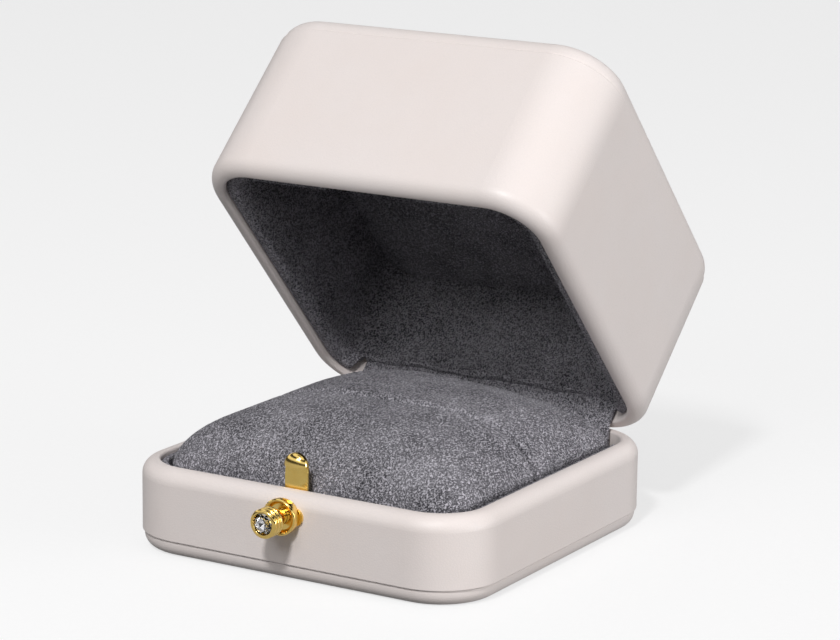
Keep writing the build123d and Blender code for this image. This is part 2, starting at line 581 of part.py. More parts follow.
def facet_plan(radius, y, turn):
    """Many-sided outline across the button's axis."""
    plan = RegularPolygon(radius, CRYSTAL_SIDES, rotation=turn)
    return Pos(0, y, BUTTON_Z) * (Plane.XZ * plan)


half_facet = 180 / CRYSTAL_SIDES
crystal_crown = loft([facet_plan(CRYSTAL_TABLE_R, head_front, half_facet),
                      facet_plan(CRYSTAL_R, girdle_y, half_facet)], ruled=True)
crystal_pavilion = loft([facet_plan(CRYSTAL_R, girdle_y, half_facet),
                         facet_plan(CRYSTAL_CULET_R, culet_y, half_facet)], ruled=True)
save("button_crystal", crystal_crown + crystal_pavilion)

pusher_end = pusher_y + PUSHER_T
save("button_pusher", turned([
    (pusher_y, 0), (pusher_y, PUSHER_R), (pusher_y + PUSHER_EDGE_T, PUSHER_R),
    (pusher_end, PUSHER_TIP_R), (pusher_end, 0)], BUTTON_Z))

# ----------------------------------------------------------------------- latch
tongue_front = pivot_y - TONGUE_T / 2
strip = box((-TONGUE_W / 2, TONGUE_W / 2), (tongue_front, tongue_front + TONGUE_T), (pivot_z, ledge_z))
strip = strip + y_rod(TONGUE_W / 2, tongue_front, tongue_front + TONGUE_T, z=ledge_z)
strip = strip + x_rod(ROOT_R, -TONGUE_W / 2, TONGUE_W / 2, pivot_y, pivot_z)
dome_r = (hypot(TONGUE_W / 2, CATCH_OUT) ** 2) / (2 * CATCH_OUT)
dome = Pos(0, tongue_front - CATCH_OUT + dome_r, ledge_z) * Sphere(dome_r)
catch_y = (tongue_front - CATCH_OUT, tongue_front)
dome = dome & box((-TONGUE_W, TONGUE_W), catch_y, (ledge_z, TONGUE_TOP + OVERRUN))
save("latch_tongue", strip + dome)

anchor_low, anchor_high = -WALL_Y, -WALL_Y + ANCHOR_D
anchor = box((-ANCHOR_W / 2, ANCHOR_W / 2), (anchor_low, anchor_high), (FLOOR_Z, FLOOR_Z + ANCHOR_H))
slot_half = TONGUE_W / 2 + SCREW_GAP
slot_front, slot_back = pivot_y - ROOT_R - RUN_GAP, pivot_y + ROOT_R + RUN_GAP
slot_top = FLOOR_Z + ANCHOR_H + OVERRUN
slot_mouth = slot_back + (slot_top - pivot_z) * tan(swing)
slot = extruded_yz([(anchor_low - OVERRUN, pivot_z), (slot_back, pivot_z), (slot_mouth, slot_top),
                    (anchor_low - OVERRUN, slot_top)], 2 * slot_half)
anchor = anchor - slot - x_rod(ROOT_R + RUN_GAP, -slot_half, slot_half, pivot_y, pivot_z)
save("latch_anchor", pierced(anchor, [z_rod(RIVET_R + SCREW_GAP, x, anchor_y, 0, BASE_H) for x in rivet_xs]))
rivets = [z_rod(RIVET_R, x, anchor_y, FLOOR_Z - RIVET_DEPTH, FLOOR_Z + ANCHOR_H) for x in rivet_xs]
save("anchor_rivets", Compound(children=rivets))

print("hinge axis y, z", round(AXIS_Y, 3), round(AXIS_Z, 3), "rim gap", round(RIM_GAP, 3))
print("tongue pivot y, z", round(pivot_y, 3), round(pivot_z, 3), "swing", round(degrees(swing), 2))
print("closed height", round(LID_Z + LID_H, 2))
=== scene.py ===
"""Looks of a clamshell ring box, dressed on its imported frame.

Everything is in metres in the frame's own axes: +X to the right, -Y the front,
+Z up, with the lid at its open stop. Pieces of the lid are drawn as if the lid
were closed and then turned open about the hinge.
"""

import json
import logging
import math
from collections.abc import Callable, Sequence
from dataclasses import dataclass, field
from enum import Enum

import bmesh
import bpy
import numpy as np
from mathutils import Matrix, Vector


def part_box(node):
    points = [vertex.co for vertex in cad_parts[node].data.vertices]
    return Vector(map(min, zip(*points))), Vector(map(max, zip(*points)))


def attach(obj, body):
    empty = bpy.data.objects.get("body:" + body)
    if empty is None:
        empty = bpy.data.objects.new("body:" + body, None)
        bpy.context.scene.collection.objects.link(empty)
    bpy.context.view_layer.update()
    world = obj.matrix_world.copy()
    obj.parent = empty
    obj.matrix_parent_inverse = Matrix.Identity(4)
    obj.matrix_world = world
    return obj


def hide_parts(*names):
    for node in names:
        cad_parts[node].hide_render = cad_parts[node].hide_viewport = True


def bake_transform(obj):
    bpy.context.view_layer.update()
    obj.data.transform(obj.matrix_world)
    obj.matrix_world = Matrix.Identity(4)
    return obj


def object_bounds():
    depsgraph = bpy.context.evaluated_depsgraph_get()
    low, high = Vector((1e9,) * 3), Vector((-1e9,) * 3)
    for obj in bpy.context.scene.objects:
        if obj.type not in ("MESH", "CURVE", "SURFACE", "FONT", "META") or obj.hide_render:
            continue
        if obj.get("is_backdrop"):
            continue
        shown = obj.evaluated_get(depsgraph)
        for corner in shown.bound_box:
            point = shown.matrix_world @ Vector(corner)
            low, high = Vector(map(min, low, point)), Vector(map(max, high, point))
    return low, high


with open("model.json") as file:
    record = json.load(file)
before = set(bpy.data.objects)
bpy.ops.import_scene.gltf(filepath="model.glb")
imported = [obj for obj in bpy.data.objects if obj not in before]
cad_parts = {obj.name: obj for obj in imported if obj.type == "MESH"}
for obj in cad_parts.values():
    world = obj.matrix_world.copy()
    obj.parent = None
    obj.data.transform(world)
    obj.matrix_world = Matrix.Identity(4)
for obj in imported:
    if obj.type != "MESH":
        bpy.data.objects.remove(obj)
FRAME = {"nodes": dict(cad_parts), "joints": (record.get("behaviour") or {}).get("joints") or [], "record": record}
LOG = logging.getLogger("ring_box")
MM = 0.001
SEED = 11
Node, Socket, Tree = bpy.types.Node, bpy.types.NodeSocket, bpy.types.NodeTree
Piece, Material = bpy.types.Object, bpy.types.Material
Colour = tuple[float, float, float]
Pair = tuple[float, float]


class Body(str, Enum):
    """The moving bodies of the frame."""

    BASE = "base"
    LID = "lid"
    BUTTON = "button"
    TONGUE = "tongue"


class Slot(str, Enum):
    """The record's material slots."""

    LEATHERETTE = "leatherette"
    PLASTIC = "core_plastic"
    BOARD = "board"
    SUEDE = "suede"
    FOAM = "foam"
    GOLD = "gold_polished"
    SATIN_GOLD = "gold_satin"
    STEEL = "plated_steel"
    CRYSTAL = "crystal"


# ---------------------------------------------------------------- shader bench
class Bench:
    """A node tree with short calls for adding and joining its nodes."""

    def __init__(self, tree: Tree) -> None:
        """Args: tree: the tree that nodes are added to."""
        self.tree = tree

    def add(self, kind: str, settings: dict | None = None, **values: object) -> Node:
        """Adds a node.

        Args:
            kind: the node's type name.
            settings: attributes of the node itself.
            values: default values or sources of its inputs, by socket name with
                underscores for spaces.

        Returns:
            The new node.
        """
        node = self.tree.nodes.new(kind)
        for name, value in (settings or {}).items():
            setattr(node, name, value)
        self.feed(node, **values)
        return node

    def link(self, source: Socket, target: Socket) -> None:
        """Joins an output to an input."""
        self.tree.links.new(source, target)

    def give(self, socket: Socket, value: object) -> None:
        """Joins an output to an input, or sets the input's plain value."""
        if isinstance(value, Socket):
            self.link(value, socket)
        else:
            socket.default_value = value

    def feed(self, node: Node, **values: object) -> None:
        """Gives values or sources to a node's inputs, named with underscores for spaces."""
        for name, value in values.items():
            self.give(self.socket(node, name.replace("_", " ")), value)

    @staticmethod
    def socket(node: Node, name: str) -> Socket:
        """The enabled input of that name, or of that position if name is a number."""
        if name.isdigit():
            return node.inputs[int(name)]
        return next(s for s in node.inputs if s.name == name and s.enabled)

    def math(self, operation: str, a: object, b: object = 0.0, clamp: bool = False) -> Socket:
        """Adds a Math node and returns its output."""
        node = self.add("ShaderNodeMath", {"operation": operation, "use_clamp": clamp})
        for socket, value in zip(node.inputs, (a, b)):
            self.give(socket, value)
        return node.outputs[0]

    def span(self, value: object, low: float, high: float, to_low: float, to_high: float) -> Socket:
        """Maps a value from one span to another, clamped."""
        node = self.add("ShaderNodeMapRange")
        for name, number in zip(("From Min", "From Max", "To Min", "To Max"), (low, high, to_low, to_high)):
            node.inputs[name].default_value = number
        self.link(value, node.inputs["Value"])
        return node.outputs["Result"]

    def mix(self, factor: object, a: object, b: object) -> Socket:
        """Mixes two colours and returns the result."""
        node = self.add("ShaderNodeMix", {"data_type": "RGBA"})
        for index, value in ((0, factor), (6, a), (7, b)):
            self.give(node.inputs[index], (*value, 1.0) if isinstance(value, tuple) else value)
        return node.outputs[2]

    def blend(self, factor: Socket, a: object, b: object) -> Socket:
        """Mixes two values and returns the result."""
        node = self.add("ShaderNodeMix", {"data_type": "FLOAT"})
        for index, value in ((0, factor), (2, a), (3, b)):
            self.give(node.inputs[index], value)
        return node.outputs[0]

    def noise(self, where: Socket, scale: object, detail: float, roughness: float = 0.5) -> Socket:
        """Adds a noise texture and returns its value."""
        node = self.add("ShaderNodeTexNoise", Vector=where, Scale=scale, Detail=detail, Roughness=roughness)
        return node.outputs["Fac"]


def new_group(name: str, inputs: dict[str, tuple[str, object]],
              outputs: dict[str, str]) -> tuple[Bench, Node, Node]:
    """Starts a shader node group.

    Args:
        name: the group's name.
        inputs: socket kind and default value for each input.
        outputs: socket kind for each output.

    Returns:
        The group's bench, its input node and its output node.
    """
    tree = bpy.data.node_groups.new(name, "ShaderNodeTree")
    for label, (kind, value) in inputs.items():
        socket = tree.interface.new_socket(label, in_out="INPUT", socket_type=kind)
        socket.default_value = value
    for label, kind in outputs.items():
        tree.interface.new_socket(label, in_out="OUTPUT", socket_type=kind)
    bench = Bench(tree)
    return bench, bench.add("NodeGroupInput"), bench.add("NodeGroupOutput")


FLOAT = "NodeSocketFloat"


def object_place(bench: Bench) -> Socket:
    """The object coordinates, in metres."""
    return bench.add("ShaderNodeTexCoord").outputs["Object"]


def build_nap_group() -> Tree:
    """Microsuede nap: fine speckle, brushed patches and the pile's height."""
    bench, source, sink = new_group(
        "suede_nap",
        {"Speckle Scale": (FLOAT, 2600.0), "Patch Scale": (FLOAT, 120.0), "Patch Share": (FLOAT, 0.3)},
        {"Shade": FLOAT, "Height": FLOAT},
    )
    place = object_place(bench)
    lean = bench.add("ShaderNodeMapping", Vector=place)
    lean.inputs["Scale"].default_value = (1.0, 0.62, 1.0)
    lean.inputs["Rotation"].default_value = (0.0, 0.0, 0.5)
    speckle = bench.noise(lean.outputs[0], source.outputs["Speckle Scale"], 3.0, 0.72)
    coarse_scale = bench.math("MULTIPLY", source.outputs["Speckle Scale"], 0.5)
    coarse = bench.noise(lean.outputs[0], coarse_scale, 2.0, 0.6)
    patch = bench.noise(place, source.outputs["Patch Scale"], 3.0, 0.55)
    fine = bench.math("ADD", bench.math("MULTIPLY", speckle, 0.78), bench.math("MULTIPLY", coarse, 0.22))
    fine = bench.span(fine, 0.44, 0.56, 0.0, 1.0)
    patch = bench.span(patch, 0.34, 0.66, 0.0, 1.0)
    bench.feed(sink, Shade=bench.blend(source.outputs["Patch Share"], fine, patch), Height=fine)
    return bench.tree


def build_grain_group() -> Tree:
    """Leatherette grain: pebbles parted by fine creases, with a slow waviness."""
    bench, source, sink = new_group(
        "leatherette_grain",
        {"Pebble Scale": (FLOAT, 1700.0), "Wave Scale": (FLOAT, 70.0)},
        {"Height": FLOAT, "Wave": FLOAT, "Crease": FLOAT},
    )
    place = object_place(bench)
    warp = bench.add("ShaderNodeTexNoise", Vector=place, Scale=900.0, Detail=2.0)
    shifted = bench.add("ShaderNodeVectorMath", {"operation": "MULTIPLY_ADD"})
    bench.link(warp.outputs["Color"], shifted.inputs[0])
    shifted.inputs[1].default_value = (0.0004, 0.0004, 0.0004)
    bench.link(place, shifted.inputs[2])
    cells = bench.add("ShaderNodeTexVoronoi", {"feature": "DISTANCE_TO_EDGE"},
                      Vector=shifted.outputs[0], Scale=source.outputs["Pebble Scale"])
    pebble = bench.span(cells.outputs["Distance"], 0.0, 0.22, 0.0, 1.0)
    fine_scale = bench.math("MULTIPLY", source.outputs["Pebble Scale"], 2.3)
    fine = bench.noise(place, fine_scale, 3.0, 0.6)
    height = bench.math("ADD", bench.math("MULTIPLY", pebble, 0.7), bench.math("MULTIPLY", fine, 0.3))
    wave = bench.noise(place, source.outputs["Wave Scale"], 2.0, 0.45)
    crease = bench.span(cells.outputs["Distance"], 0.0, 0.09, 1.0, 0.0)
    bench.feed(sink, Height=height, Wave=wave, Crease=crease)
    return bench.tree


def build_handling_group() -> Tree:
    """Handling marks: soft cloudy smears and fine dust specks, as masks."""
    bench, source, sink = new_group(
        "handling_marks",
        {"Smear Scale": (FLOAT, 60.0), "Dust Scale": (FLOAT, 1500.0), "Dust Share": (FLOAT, 0.2)},
        {"Smear": FLOAT, "Dust": FLOAT},
    )
    place = object_place(bench)
    smear = bench.noise(place, source.outputs["Smear Scale"], 4.0, 0.6)
    specks = bench.add("ShaderNodeTexVoronoi", {"feature": "F1"},
                       Vector=place, Scale=source.outputs["Dust Scale"])
    near = bench.span(specks.outputs["Distance"], 0.05, 0.16, 1.0, 0.0)
    where = bench.span(bench.noise(place, 400.0, 1.0), 0.55, 0.7, 0.0, 1.0)
    dust = bench.math("MULTIPLY", bench.math("MULTIPLY", near, where), source.outputs["Dust Share"])
    bench.feed(sink, Smear=bench.span(smear, 0.3, 0.7, 0.0, 1.0), Dust=dust)
    return bench.tree


def build_polish_group() -> Tree:
    """Polishing: hairlines along one axis and small pits, as height and mask."""
    bench, source, sink = new_group(
        "polish_marks",
        {"Line Scale": (FLOAT, 5000.0), "Stretch": (FLOAT, 12.0)},
        {"Lines": FLOAT, "Cloud": FLOAT},
    )
    place = object_place(bench)
    ways = bench.add("ShaderNodeSeparateXYZ")
    bench.link(place, ways.inputs[0])
    drawn = bench.add("ShaderNodeCombineXYZ")
    bench.link(ways.outputs[0], drawn.inputs[0])
    bench.link(ways.outputs[1], drawn.inputs[1])
    bench.link(bench.math("DIVIDE", ways.outputs[2], source.outputs["Stretch"]), drawn.inputs[2])
    lines = bench.noise(drawn.outputs[0], source.outputs["Line Scale"], 2.0, 0.6)
    cloud = bench.noise(place, 500.0, 3.0, 0.5)
    lines, cloud = (bench.span(value, 0.3, 0.7, 0.0, 1.0) for value in (lines, cloud))
    bench.feed(sink, Lines=lines, Cloud=cloud)
    return bench.tree


@dataclass(frozen=True)
class Effects:
    """The shared shader groups, built once."""

    nap: Tree
    grain: Tree
    handling: Tree
    polish: Tree

    @classmethod
    def build(cls) -> "Effects":
        """Builds every shared group."""
        return cls(build_nap_group(), build_grain_group(), build_handling_group(), build_polish_group())


def place_group(bench: Bench, tree: Tree, **values: float) -> Node:
    """Places a shared group in a material.

    Args:
        bench: the material's bench.
        tree: the shared group.
        values: the group's inputs, with underscores for spaces.

    Returns:
        The group node.
    """
    node = bench.add("ShaderNodeGroup", {"node_tree": tree})
    for name, value in values.items():
        node.inputs[name.replace("_", " ")].default_value = value
    return node


@dataclass(frozen=True)
class Finish:
    """What every finish has: a name, a colour and a way to build its material."""

    name: str
    colour: Colour

    def start(self) -> tuple[Material, Bench, Node]:
        """Starts a material: returns it, its bench and its shader."""
        material = bpy.data.materials.new(self.name)
        material.use_nodes = True
        bench = Bench(material.node_tree)
        return material, bench, material.node_tree.nodes["Principled BSDF"]

    @staticmethod
    def set(shader: Node, **values: object) -> None:
        """Sets plain values on the shader's own sockets."""
        for name, value in values.items():
            shader.inputs[name.replace("_", " ")].default_value = value

    @staticmethod
    def bump(bench: Bench, shader: Node, layers: Sequence[tuple[Socket, float]]) -> None:
        """Chains height layers, each with its depth in metres, into the normal."""
        normal = None
        for height, depth in layers:
            node = bench.add("ShaderNodeBump", Height=height)
            node.inputs["Strength"].default_value = 1.0
            node.inputs["Distance"].default_value = depth
            if normal is not None:
                bench.link(normal, node.inputs["Normal"])
            normal = node.outputs["Normal"]
        bench.link(normal, shader.inputs["Normal"])


@dataclass(frozen=True)
class Leatherette(Finish):
    """Smooth wrapped leatherette with a very fine grain."""

    roughness: Pair = (0.36, 0.50)
    pebble_scale: float = 2300.0
    pebble_depth: float = 0.000012
    wave_depth: float = 0.00022
    crease_tone: float = 0.93

    def material(self, effects: Effects) -> Material:
        """Builds the material."""
        material, bench, shader = self.start()
        grain = place_group(bench, effects.grain, Pebble_Scale=self.pebble_scale)
        marks = place_group(bench, effects.handling, Smear_Scale=45.0, Dust_Share=0.25)
        deep = tuple(c * self.crease_tone for c in self.colour)
        warm = (self.colour[0] * 0.985, self.colour[1] * 0.965, self.colour[2] * 0.95)
        tone = bench.mix(marks.outputs["Smear"], self.colour, warm)
        tone = bench.mix(bench.math("MULTIPLY", grain.outputs["Crease"], 0.5), tone, deep)
        tone = bench.mix(marks.outputs["Dust"], tone, (0.62, 0.58, 0.56))
        rough = bench.span(marks.outputs["Smear"], 0.0, 1.0, *self.roughness)
        bench.feed(shader, Base_Color=tone, Roughness=rough)
        self.set(shader, Specular_IOR_Level=0.42, Sheen_Weight=0.06, Sheen_Roughness=0.4)
        self.bump(bench, shader, [
            (grain.outputs["Wave"], self.wave_depth), (grain.outputs["Height"], self.pebble_depth)])
        return material


@dataclass(frozen=True)
class Microsuede(Finish):
    """Grey microsuede: a short nap with dark and light speckle."""

    light: Colour = (0.54, 0.515, 0.57)
    speckle_scale: float = 3900.0
    pile_depth: float = 0.00028
    sheen: float = 0.35
    patch_share: float = 0.24
    roughness: Pair = (0.95, 0.82)

    def material(self, effects: Effects) -> Material:
        """Builds the material."""
        material, bench, shader = self.start()
        nap = place_group(bench, effects.nap, Speckle_Scale=self.speckle_scale,
                          Patch_Share=self.patch_share)
        tone = bench.mix(nap.outputs["Shade"], self.colour, self.light)
        rough = bench.span(nap.outputs["Shade"], 0.0, 1.0, *self.roughness)
        bench.feed(shader, Base_Color=tone, Roughness=rough)
        self.set(shader, Specular_IOR_Level=0.15, Sheen_Weight=self.sheen, Sheen_Roughness=0.55,
                 Sheen_Tint=(0.78, 0.78, 0.84, 1.0))
        self.bump(bench, shader, [(nap.outputs["Height"], self.pile_depth)])
        return material


@dataclass(frozen=True)
class Metal(Finish):
    """Plated metal, polished or satin."""

    roughness: Pair = (0.08, 0.16)
    deep: Colour = (0.8, 0.5, 0.15)
    line_depth: float = 0.000002
    line_scale: float = 6000.0

    def material(self, effects: Effects) -> Material:
        """Builds the material."""
        material, bench, shader = self.start()
        polish = place_group(bench, effects.polish, Line_Scale=self.line_scale)
        marks = place_group(bench, effects.handling, Smear_Scale=400.0)
        tone = bench.mix(bench.math("MULTIPLY", polish.outputs["Cloud"], 0.5), self.colour, self.deep)
        rough = bench.span(marks.outputs["Smear"], 0.0, 1.0, *self.roughness)
        bench.feed(shader, Base_Color=tone, Roughness=rough)
        self.set(shader, Metallic=1.0)
        self.bump(bench, shader, [(polish.outputs["Lines"], self.line_depth)])
        return material


@dataclass(frozen=True)
class SilverFoil(Finish):
    """Bright foil behind the crystal's lower facets."""

    def material(self, effects: Effects) -> Material:
        """Builds the material."""
        material, bench, shader = self.start()
        marks = place_group(bench, effects.handling, Smear_Scale=1500.0)
        dull = tuple(c * 0.9 for c in self.colour)
        bench.link(bench.mix(marks.outputs["Smear"], self.colour, dull), shader.inputs["Base Color"])
        self.set(shader, Metallic=1.0, Roughness=0.06)
        return material


@dataclass(frozen=True)
class Crystal(Finish):
    """Clear faceted crystal."""

    ior: float = 1.62
    dust: Colour = (0.8, 0.8, 0.8)
    roughness: Pair = (0.0, 0.03)

    def material(self, effects: Effects) -> Material:
        """Builds the material."""
        material, bench, shader = self.start()
        marks = place_group(bench, effects.handling, Smear_Scale=900.0, Dust_Share=0.1)
        tone = bench.mix(marks.outputs["Dust"], self.colour, self.dust)
        rough = bench.span(marks.outputs["Smear"], 0.0, 1.0, *self.roughness)
        bench.feed(shader, Base_Color=tone, Roughness=rough)
        self.set(shader, Transmission_Weight=1.0, IOR=self.ior)
        return material


@dataclass(frozen=True)
class Core(Finish):
    """Moulded plastic, pressed board or foam inside the coverings."""

    roughness: float = 0.6
    texture_scale: float = 900.0
    texture_depth: float = 0.00003
    contrast: float = 0.8

    def material(self, effects: Effects) -> Material:
        """Builds the material."""
        material, bench, shader = self.start()
        place = object_place(bench)
        cells = bench.noise(place, self.texture_scale, 4.0, 0.65)
        marks = place_group(bench, effects.handling, Smear_Scale=120.0, Dust_Share=0.3)
        dark = tuple(c * self.contrast for c in self.colour)
        tone = bench.mix(bench.span(cells, 0.35, 0.65, 0.0, 1.0), dark, self.colour)
        tone = bench.mix(marks.outputs["Dust"], tone, (0.6, 0.58, 0.55))
        rougher = min(1.0, self.roughness + 0.12)
        rough = bench.span(marks.outputs["Smear"], 0.0, 1.0, self.roughness, rougher)
        bench.feed(shader, Base_Color=tone, Roughness=rough)
        self.bump(bench, shader, [(cells, self.texture_depth)])
        return material


FINISHES: dict[Slot, Finish] = {
    Slot.LEATHERETTE: Leatherette("wrapped_leatherette", (0.785, 0.722, 0.703)),
    Slot.SUEDE: Microsuede("grey_microsuede", (0.012, 0.011, 0.015)),
    Slot.GOLD: Metal("polished_gold", (0.95, 0.70, 0.24), deep=(0.88, 0.56, 0.13)),
    Slot.SATIN_GOLD: Metal("satin_gold", (0.92, 0.68, 0.22), roughness=(0.14, 0.24),
                           deep=(0.84, 0.54, 0.12), line_depth=0.000004),
    Slot.STEEL: Metal("plated_steel", (0.62, 0.61, 0.59), roughness=(0.22, 0.34), deep=(0.45, 0.44, 0.42)),
    Slot.CRYSTAL: Crystal("clear_crystal", (1.0, 1.0, 1.0)),
    Slot.PLASTIC: Core("moulded_core", (0.74, 0.70, 0.66), roughness=0.45),
    Slot.BOARD: Core("pressed_board", (0.36, 0.33, 0.30), roughness=0.85, contrast=0.7),
    Slot.FOAM: Core("cushion_foam", (0.16, 0.16, 0.17), roughness=0.9, texture_scale=2200.0,
                    texture_depth=0.0001),
}


class Palette:
    """The finished materials, by slot."""

    def __init__(self) -> None:
        """Builds the shared groups and every material."""
        self.effects = Effects.build()
        self.materials = {slot: finish.material(self.effects) for slot, finish in FINISHES.items()}

    def dress(self, piece: Piece, slot: Slot) -> None:
        """Gives a piece one finish."""
        piece.data.materials.clear()
        piece.data.materials.append(self.materials[slot])

    def dress_frame(self) -> None:
        """Gives every node of the frame the finish of its slot in the record."""
        for entry in FRAME["record"]["subparts"]:
            self.dress(FRAME["nodes"][entry["node"]], Slot(entry["material_slot"]))


# ------------------------------------------------------------------- mesh tools
def mesh_piece(name: str, points: np.ndarray, faces: Sequence[Sequence[int]]) -> Piece:
    """Makes a smooth-shaded mesh object.

    Args:
        name: the piece's name.
        points: vertices in the frame, in metres.
        faces: vertex indices of each face.

    Returns:
        The new object, linked to the scene.
    """
    mesh = bpy.data.meshes.new(name)
    mesh.from_pydata([tuple(map(float, p)) for p in points], [], [tuple(f) for f in faces])
    mesh.validate()
    mesh.shade_smooth()
    piece = bpy.data.objects.new(name, mesh)
    bpy.context.scene.collection.objects.link(piece)
    return piece


def grid_faces(rows: int, columns: int, wrap_rows: bool = False,
               wrap_columns: bool = False) -> list[tuple[int, ...]]:
    """Quads of a grid whose points run row by row."""
    faces = []
    for r in range(rows if wrap_rows else rows - 1):
        for c in range(columns if wrap_columns else columns - 1):
            r1, c1 = (r + 1) % rows, (c + 1) % columns
            faces.append((r * columns + c, r * columns + c1, r1 * columns + c1, r1 * columns + c))
    return faces


def grid_piece(name: str, grid: np.ndarray, wrap_rows: bool = False, wrap_columns: bool = False,
               caps: bool = False) -> Piece:
    """Makes a piece from a (rows, columns, 3) grid of points.

    Args:
        name: the piece's name.
        grid: the points.
        wrap_rows: the last row joins the first.
        wrap_columns: the last column joins the first.
        caps: the first and last row, or column where rows wrap, are closed by a face.

    Returns:
        The new object.
    """
    rows, columns = grid.shape[:2]
    faces = grid_faces(rows, columns, wrap_rows, wrap_columns)
    if caps and wrap_rows:
        faces.append(tuple(r * columns for r in range(rows)))
        faces.append(tuple(r * columns + columns - 1 for r in reversed(range(rows))))
    elif caps:
        faces.append(tuple(reversed(range(columns))))
        faces.append(tuple((rows - 1) * columns + c for c in range(columns)))
    piece = mesh_piece(name, grid.reshape(-1, 3), faces)
    face_outwards(piece)
    return piece


def face_outwards(piece: Piece) -> None:
    """Makes the face normals consistent."""
    shape = bmesh.new()
    shape.from_mesh(piece.data)
    bmesh.ops.recalc_face_normals(shape, faces=shape.faces)
    shape.to_mesh(piece.data)
    shape.free()


def apply_modifiers(piece: Piece) -> None:
    """Keeps a piece's evaluated mesh and clears its modifiers."""
    graph = bpy.context.evaluated_depsgraph_get()
    mesh = bpy.data.meshes.new_from_object(piece.evaluated_get(graph))
    piece.modifiers.clear()
    piece.data = mesh
    mesh.shade_smooth()


def read_vertices(mesh: bpy.types.Mesh, what: str = "co") -> np.ndarray:
    """Reads one vector per vertex as rows."""
    values = np.empty(len(mesh.vertices) * 3)
    mesh.vertices.foreach_get(what, values)
    return values.reshape(-1, 3)


def move_vertices(mesh: bpy.types.Mesh, points: np.ndarray) -> None:
    """Puts each vertex at its row's point."""
    mesh.vertices.foreach_set("co", points.ravel())
    mesh.update()


def ruffle(piece: Piece, depth: float, scale: float, seed: int = SEED) -> None:
    """Moves each vertex along its normal by a seeded random height, so that nap shows at an edge.

    Args:
        piece: the mesh to change.
        depth: the largest move, in metres.
        scale: share of the random height that neighbours have in common.
        seed: seed of the random heights.
    """
    mesh = piece.data
    count = len(mesh.vertices)
    heights = np.random.default_rng(seed).uniform(-1.0, 1.0, count)
    edges = np.empty(len(mesh.edges) * 2, int)
    mesh.edges.foreach_get("vertices", edges)
    edges = edges.reshape(-1, 2)
    total, links = np.zeros(count), np.zeros(count)
    for a, b in ((0, 1), (1, 0)):
        np.add.at(total, edges[:, a], heights[edges[:, b]])
        np.add.at(links, edges[:, a], 1.0)
    heights = heights * (1 - scale) + scale * total / np.maximum(links, 1.0)
    move_vertices(mesh, read_vertices(mesh) + read_vertices(mesh, "normal") * (heights * depth)[:, None])


def smoothstep(x: np.ndarray | float, low: float, high: float) -> np.ndarray:
    """Rises smoothly from 0 at low to 1 at high."""
    t = np.clip((np.asarray(x, float) - low) / (high - low), 0.0, 1.0)
    return t * t * (3 - 2 * t)


@dataclass(frozen=True)
class Plan:
    """Plan of the box: a rounded rectangle, walked at any inset from the outer wall."""

    half_x: float
    half_y: float
    corner: float

    def walk(self, spacing: float, turn_steps: int = 14) -> tuple[np.ndarray, np.ndarray]:
        """Walks the outline once from the middle of the back, over +X, to the middle of the back.

        Args:
            spacing: distance between samples on the straight sides.
            turn_steps: samples in each corner.

        Returns:
            The corner-centre line and the outward normals, one row per sample.
        """
        cx, cy = self.half_x - self.corner, self.half_y - self.corner
        stops = [(0.0, cy), (cx, cy), (cx, -cy), (-cx, -cy), (-cx, cy), (0.0, cy)]
        normals = [90.0, 0.0, -90.0, -180.0, -270.0]
        cores, ways = [], []
        for index, (start, end) in enumerate(zip(stops, stops[1:])):
            length = math.dist(start, end)
            steps = max(2, round(length / spacing))
            angle = math.radians(normals[index])
            for step in range(steps + 1):
                share = step / steps
                cores.append([a + (b - a) * share for a, b in zip(start, end)])
                ways.append([math.cos(angle), math.sin(angle)])
            if index < len(normals) - 1:
                for step in range(1, turn_steps):
                    turned = math.radians(normals[index] - 90.0 * step / turn_steps)
                    cores.append(list(end))
                    ways.append([math.cos(turned), math.sin(turned)])
        return np.array(cores), np.array(ways)

    def at(self, cores: np.ndarray, ways: np.ndarray, inset: np.ndarray | float) -> np.ndarray:
        """Points of the outline at an inset from the outer wall."""
        reach = (self.corner - np.asarray(inset, float)) * np.ones(len(cores))
        return cores + ways * reach[:, None]


@dataclass(frozen=True)
class Hinge:
    """The lid's hinge: where it is and how far the lid stands open."""

    axis: Vector
    open_angle: float

    @classmethod
    def from_frame(cls) -> "Hinge":
        """Reads the hinge from the frame's joints."""
        joint = next(j for j in FRAME["joints"] if j["name"] == "lid_hinge")
        return cls(Vector(joint["pos_m"]), -math.radians(joint["range_deg"][0]))

    def opened(self, points: np.ndarray) -> np.ndarray:
        """Turns points drawn on the closed lid to the open stop."""
        flat = points.reshape(-1, 3).copy()
        y, z = flat[:, 1] - self.axis.y, flat[:, 2] - self.axis.z
        c, s = math.cos(self.open_angle), math.sin(self.open_angle)
        flat[:, 1] = self.axis.y + y * c + z * s
        flat[:, 2] = self.axis.z - y * s + z * c
        return flat.reshape(points.shape)


@dataclass
class BoxSizes:
    """Sizes of the wrapped box that the pieces are fitted to, in metres."""

    wall: float = 3.0 * MM
    corner: float = 10.5 * MM
    board_fit: float = 0.1 * MM
    plan: Plan = field(init=False)
    hinge: Hinge = field(init=False)
    rim_z: float = field(init=False)
    lid_z: float = field(init=False)

    def __post_init__(self) -> None:
        """Reads what the frame itself tells."""
        low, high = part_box("base_wrap")
        self.plan = Plan(high.x, (high.y - low.y) / 2, self.corner)
        self.hinge = Hinge.from_frame()
        self.rim_z = high.z
        self.lid_z = 2 * self.hinge.axis.z - high.z


